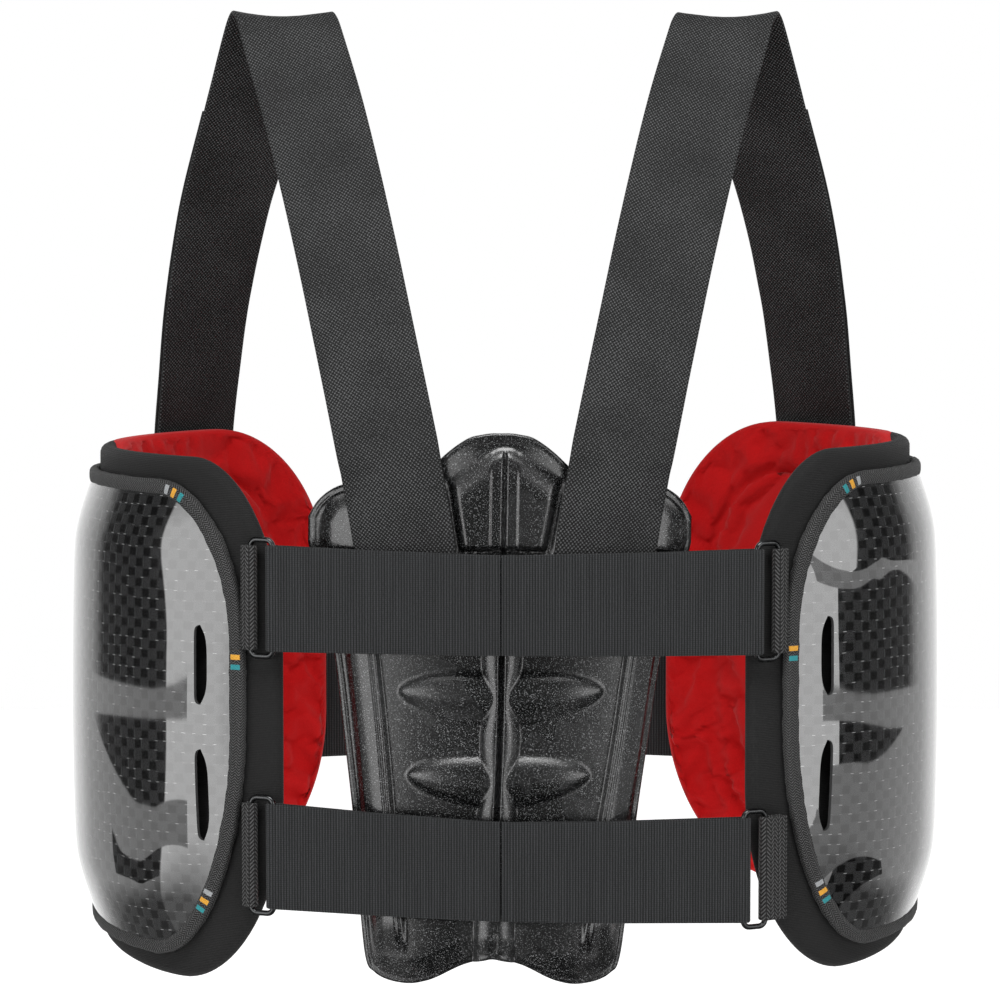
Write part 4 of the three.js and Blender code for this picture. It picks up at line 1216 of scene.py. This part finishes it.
def make_light():
    """One large soft lamp, above and in front."""
    lamp = bpy.data.lights.new("top", "AREA")
    lamp.shape = "RECTANGLE"
    lamp.size, lamp.size_y = 1.4, 0.9
    lamp.energy = 42
    place, target = Vector((0.0, -1.1, 1.7)), Vector((0, 0, -0.25))
    stand("top", lamp, place, (target - place).to_track_quat("-Z", "Y").to_euler())


def make_floor():
    """A plain pale disc, well below the part."""
    radius, level, steps = 2.3, -0.62, 96
    turn = np.linspace(0, 2 * math.pi, steps, endpoint=False)
    rim = np.stack([radius * np.cos(turn), radius * np.sin(turn), np.full(steps, level)], -1)
    mesh = bpy.data.meshes.new("floor")
    mesh.from_pydata(rim.tolist(), [], [tuple(range(steps))])
    floor = stand("floor", mesh, (0, 0, 0))
    glow = {"Emission_Color": (1, 1, 1, 1), "Emission_Strength": 0.62}
    tree = Tree("pale_floor", 0.9, Specular_IOR_Level=0.1, **glow)
    tree.colour(tree.mix(tree.noise(tree.place(), 0.004), grey(0.84), grey(0.88)))
    mesh.materials.append(tree.material)
    floor.visible_glossy = False


def make_world():
    """White to the camera. To the object: bright panels at both sides of the camera, a pale backdrop behind.

    An azimuth is a share of the half turn from the camera's side to the far side, and a height is the upward
    part of a direction.
    """
    world = bpy.data.worlds.new("studio")
    bpy.context.scene.world = world
    world.use_nodes = True
    world.node_tree.nodes.clear()
    tree = Nodes(world.node_tree)
    coordinates = tree.nodes.new("ShaderNodeTexCoord")
    sideways, depth, rise = tree.split(coordinates.outputs["Generated"])
    away = tree.math("ARCTAN2", tree.math("ABSOLUTE", sideways), tree.times(depth, -1.0))
    turn = tree.math("DIVIDE", away, math.pi)
    ramp = tree.nodes.new("ShaderNodeValToRGB")
    stops = [
        (0.0, 0.02), (0.125, 0.02), (0.155, 0.4), (0.375, 0.4), (0.385, 0.004), (0.66, 0.004),
        (0.71, 0.11), (0.8, 0.17), (1.0, 0.17),
    ]
    elements = ramp.color_ramp.elements
    elements[0].position, elements[1].position = stops[0][0], stops[-1][0]
    for place, _ in stops[1:-1]:
        elements.new(place)
    for element, (place, value) in zip(elements, stops):
        element.position, element.color = place, (value, value, value, 1)
    tree.links.new(turn, ramp.inputs[0])
    shade = ramp.outputs["Color"]
    both = tree.times

    def either(first, second):
        return tree.math("MAXIMUM", first, second)

    def without(whole, part):
        return both(whole, tree.rest(part))

    def line(at, value, tilt):
        """A height that has this value at one azimuth and changes by the tilt."""
        return tree.math("MULTIPLY_ADD", turn, tilt, value - at * tilt)

    def under(edge):
        return tree.math("LESS_THAN", rise, edge)

    def within(low, high):
        return both(tree.math("GREATER_THAN", rise, low), under(high))

    def before(azimuth):
        return tree.math("LESS_THAN", turn, azimuth)

    def past(azimuth):
        return tree.math("GREATER_THAN", turn, azimuth)

    # Pale strips of the backdrop, low at both sides, which break up the dark part of the reflections
    low_patch = both(tree.rest(under(line(0.5, -0.30, 0.4))), before(0.63))
    patch = both(under(line(0.55, -0.21, 0.4)), either(low_patch, before(0.38)))
    left = either(within(-0.129, -0.1135), without(under(line(0.52, -0.176, 0.25)), patch))
    left = both(left, past(0.25))
    top_edge = either(line(0.526, -0.024, -0.5), line(0.526, -0.024, -0.2))
    low_edge = either(line(0.534, -0.05, -0.34), line(0.534, -0.05, -0.18))
    patch = without(under(line(0.527, -0.255, 0.55)), under(line(0.527, -0.30, 1.0)))
    patch = both(patch, before(0.53))
    right = either(without(under(top_edge), under(low_edge)), within(-0.1365, -0.1195))
    right = either(right, without(under(line(0.3, -0.196, 0.175)), patch))
    right = both(right, past(0.22))
    on_right = tree.math("GREATER_THAN", sideways, 0.0)
    strips = either(without(left, on_right), both(right, on_right))

    # The right panel is narrower below, and both fade above and far below
    gone = both(both(both(on_right, under(0.06)), past(0.285)), before(0.4))
    pale = either(0.125, both(shade, past(0.38)))
    plain = without(without(shade, gone), strips)
    strength = tree.times(tree.math("MULTIPLY_ADD", pale, strips, plain), 10.0)
    strength = tree.times(strength, tree.between(rise, 0.3, 0.5, 1.0, 0.15, "LINEAR"))
    strength = tree.times(strength, tree.between(rise, -0.45, -0.3, 0.15, 1.0, "LINEAR"))

    lit, seen = tree.nodes.new("ShaderNodeBackground"), tree.nodes.new("ShaderNodeBackground")
    tree.put(lit.inputs["Strength"], strength)
    tree.put(seen.inputs["Color"], (1, 1, 1, 1))
    choose = tree.nodes.new("ShaderNodeMixShader")
    output = tree.nodes.new("ShaderNodeOutputWorld")
    path = tree.nodes.new("ShaderNodeLightPath")
    tree.links.new(path.outputs["Is Camera Ray"], choose.inputs[0])
    tree.links.new(lit.outputs[0], choose.inputs[1])
    tree.links.new(seen.outputs[0], choose.inputs[2])
    tree.links.new(choose.outputs[0], output.inputs[0])


make_camera()
make_floor()
make_world()
make_light()
bpy.context.scene.view_settings.view_transform = "Standard"

belt_cloth = belt_material()
strap_cloth = webbing_material("strap_webbing", 1.9, 1.8, 0.0015, 0.085, 0.35)
tail_cloth = webbing_material("tail_webbing", 1.5, 1.5, 0.0012, 0.008, 0.2)
tab_cloth = braid_material()
knit = knit_material()
red = lining_material()
carbon = carbon_material()
tape = tape_material()
wire = wire_material()

build_plate(plate_material())
for flank_name, flank_values in FLANKS.items():
    build_pad(flank_name, flank_values, knit)
    build_lining(flank_name, flank_values, red)
    build_shell(flank_name, flank_values, carbon)
    build_binding(flank_name, flank_values, tape)
    build_straps(flank_name, flank_values, strap_cloth, tail_cloth)
for belt_name in BELTS:
    build_belt(belt_name, belt_cloth)
    build_ring(belt_name, wire)
    build_tab(belt_name, tab_cloth)
build_front_belt(belt_cloth)
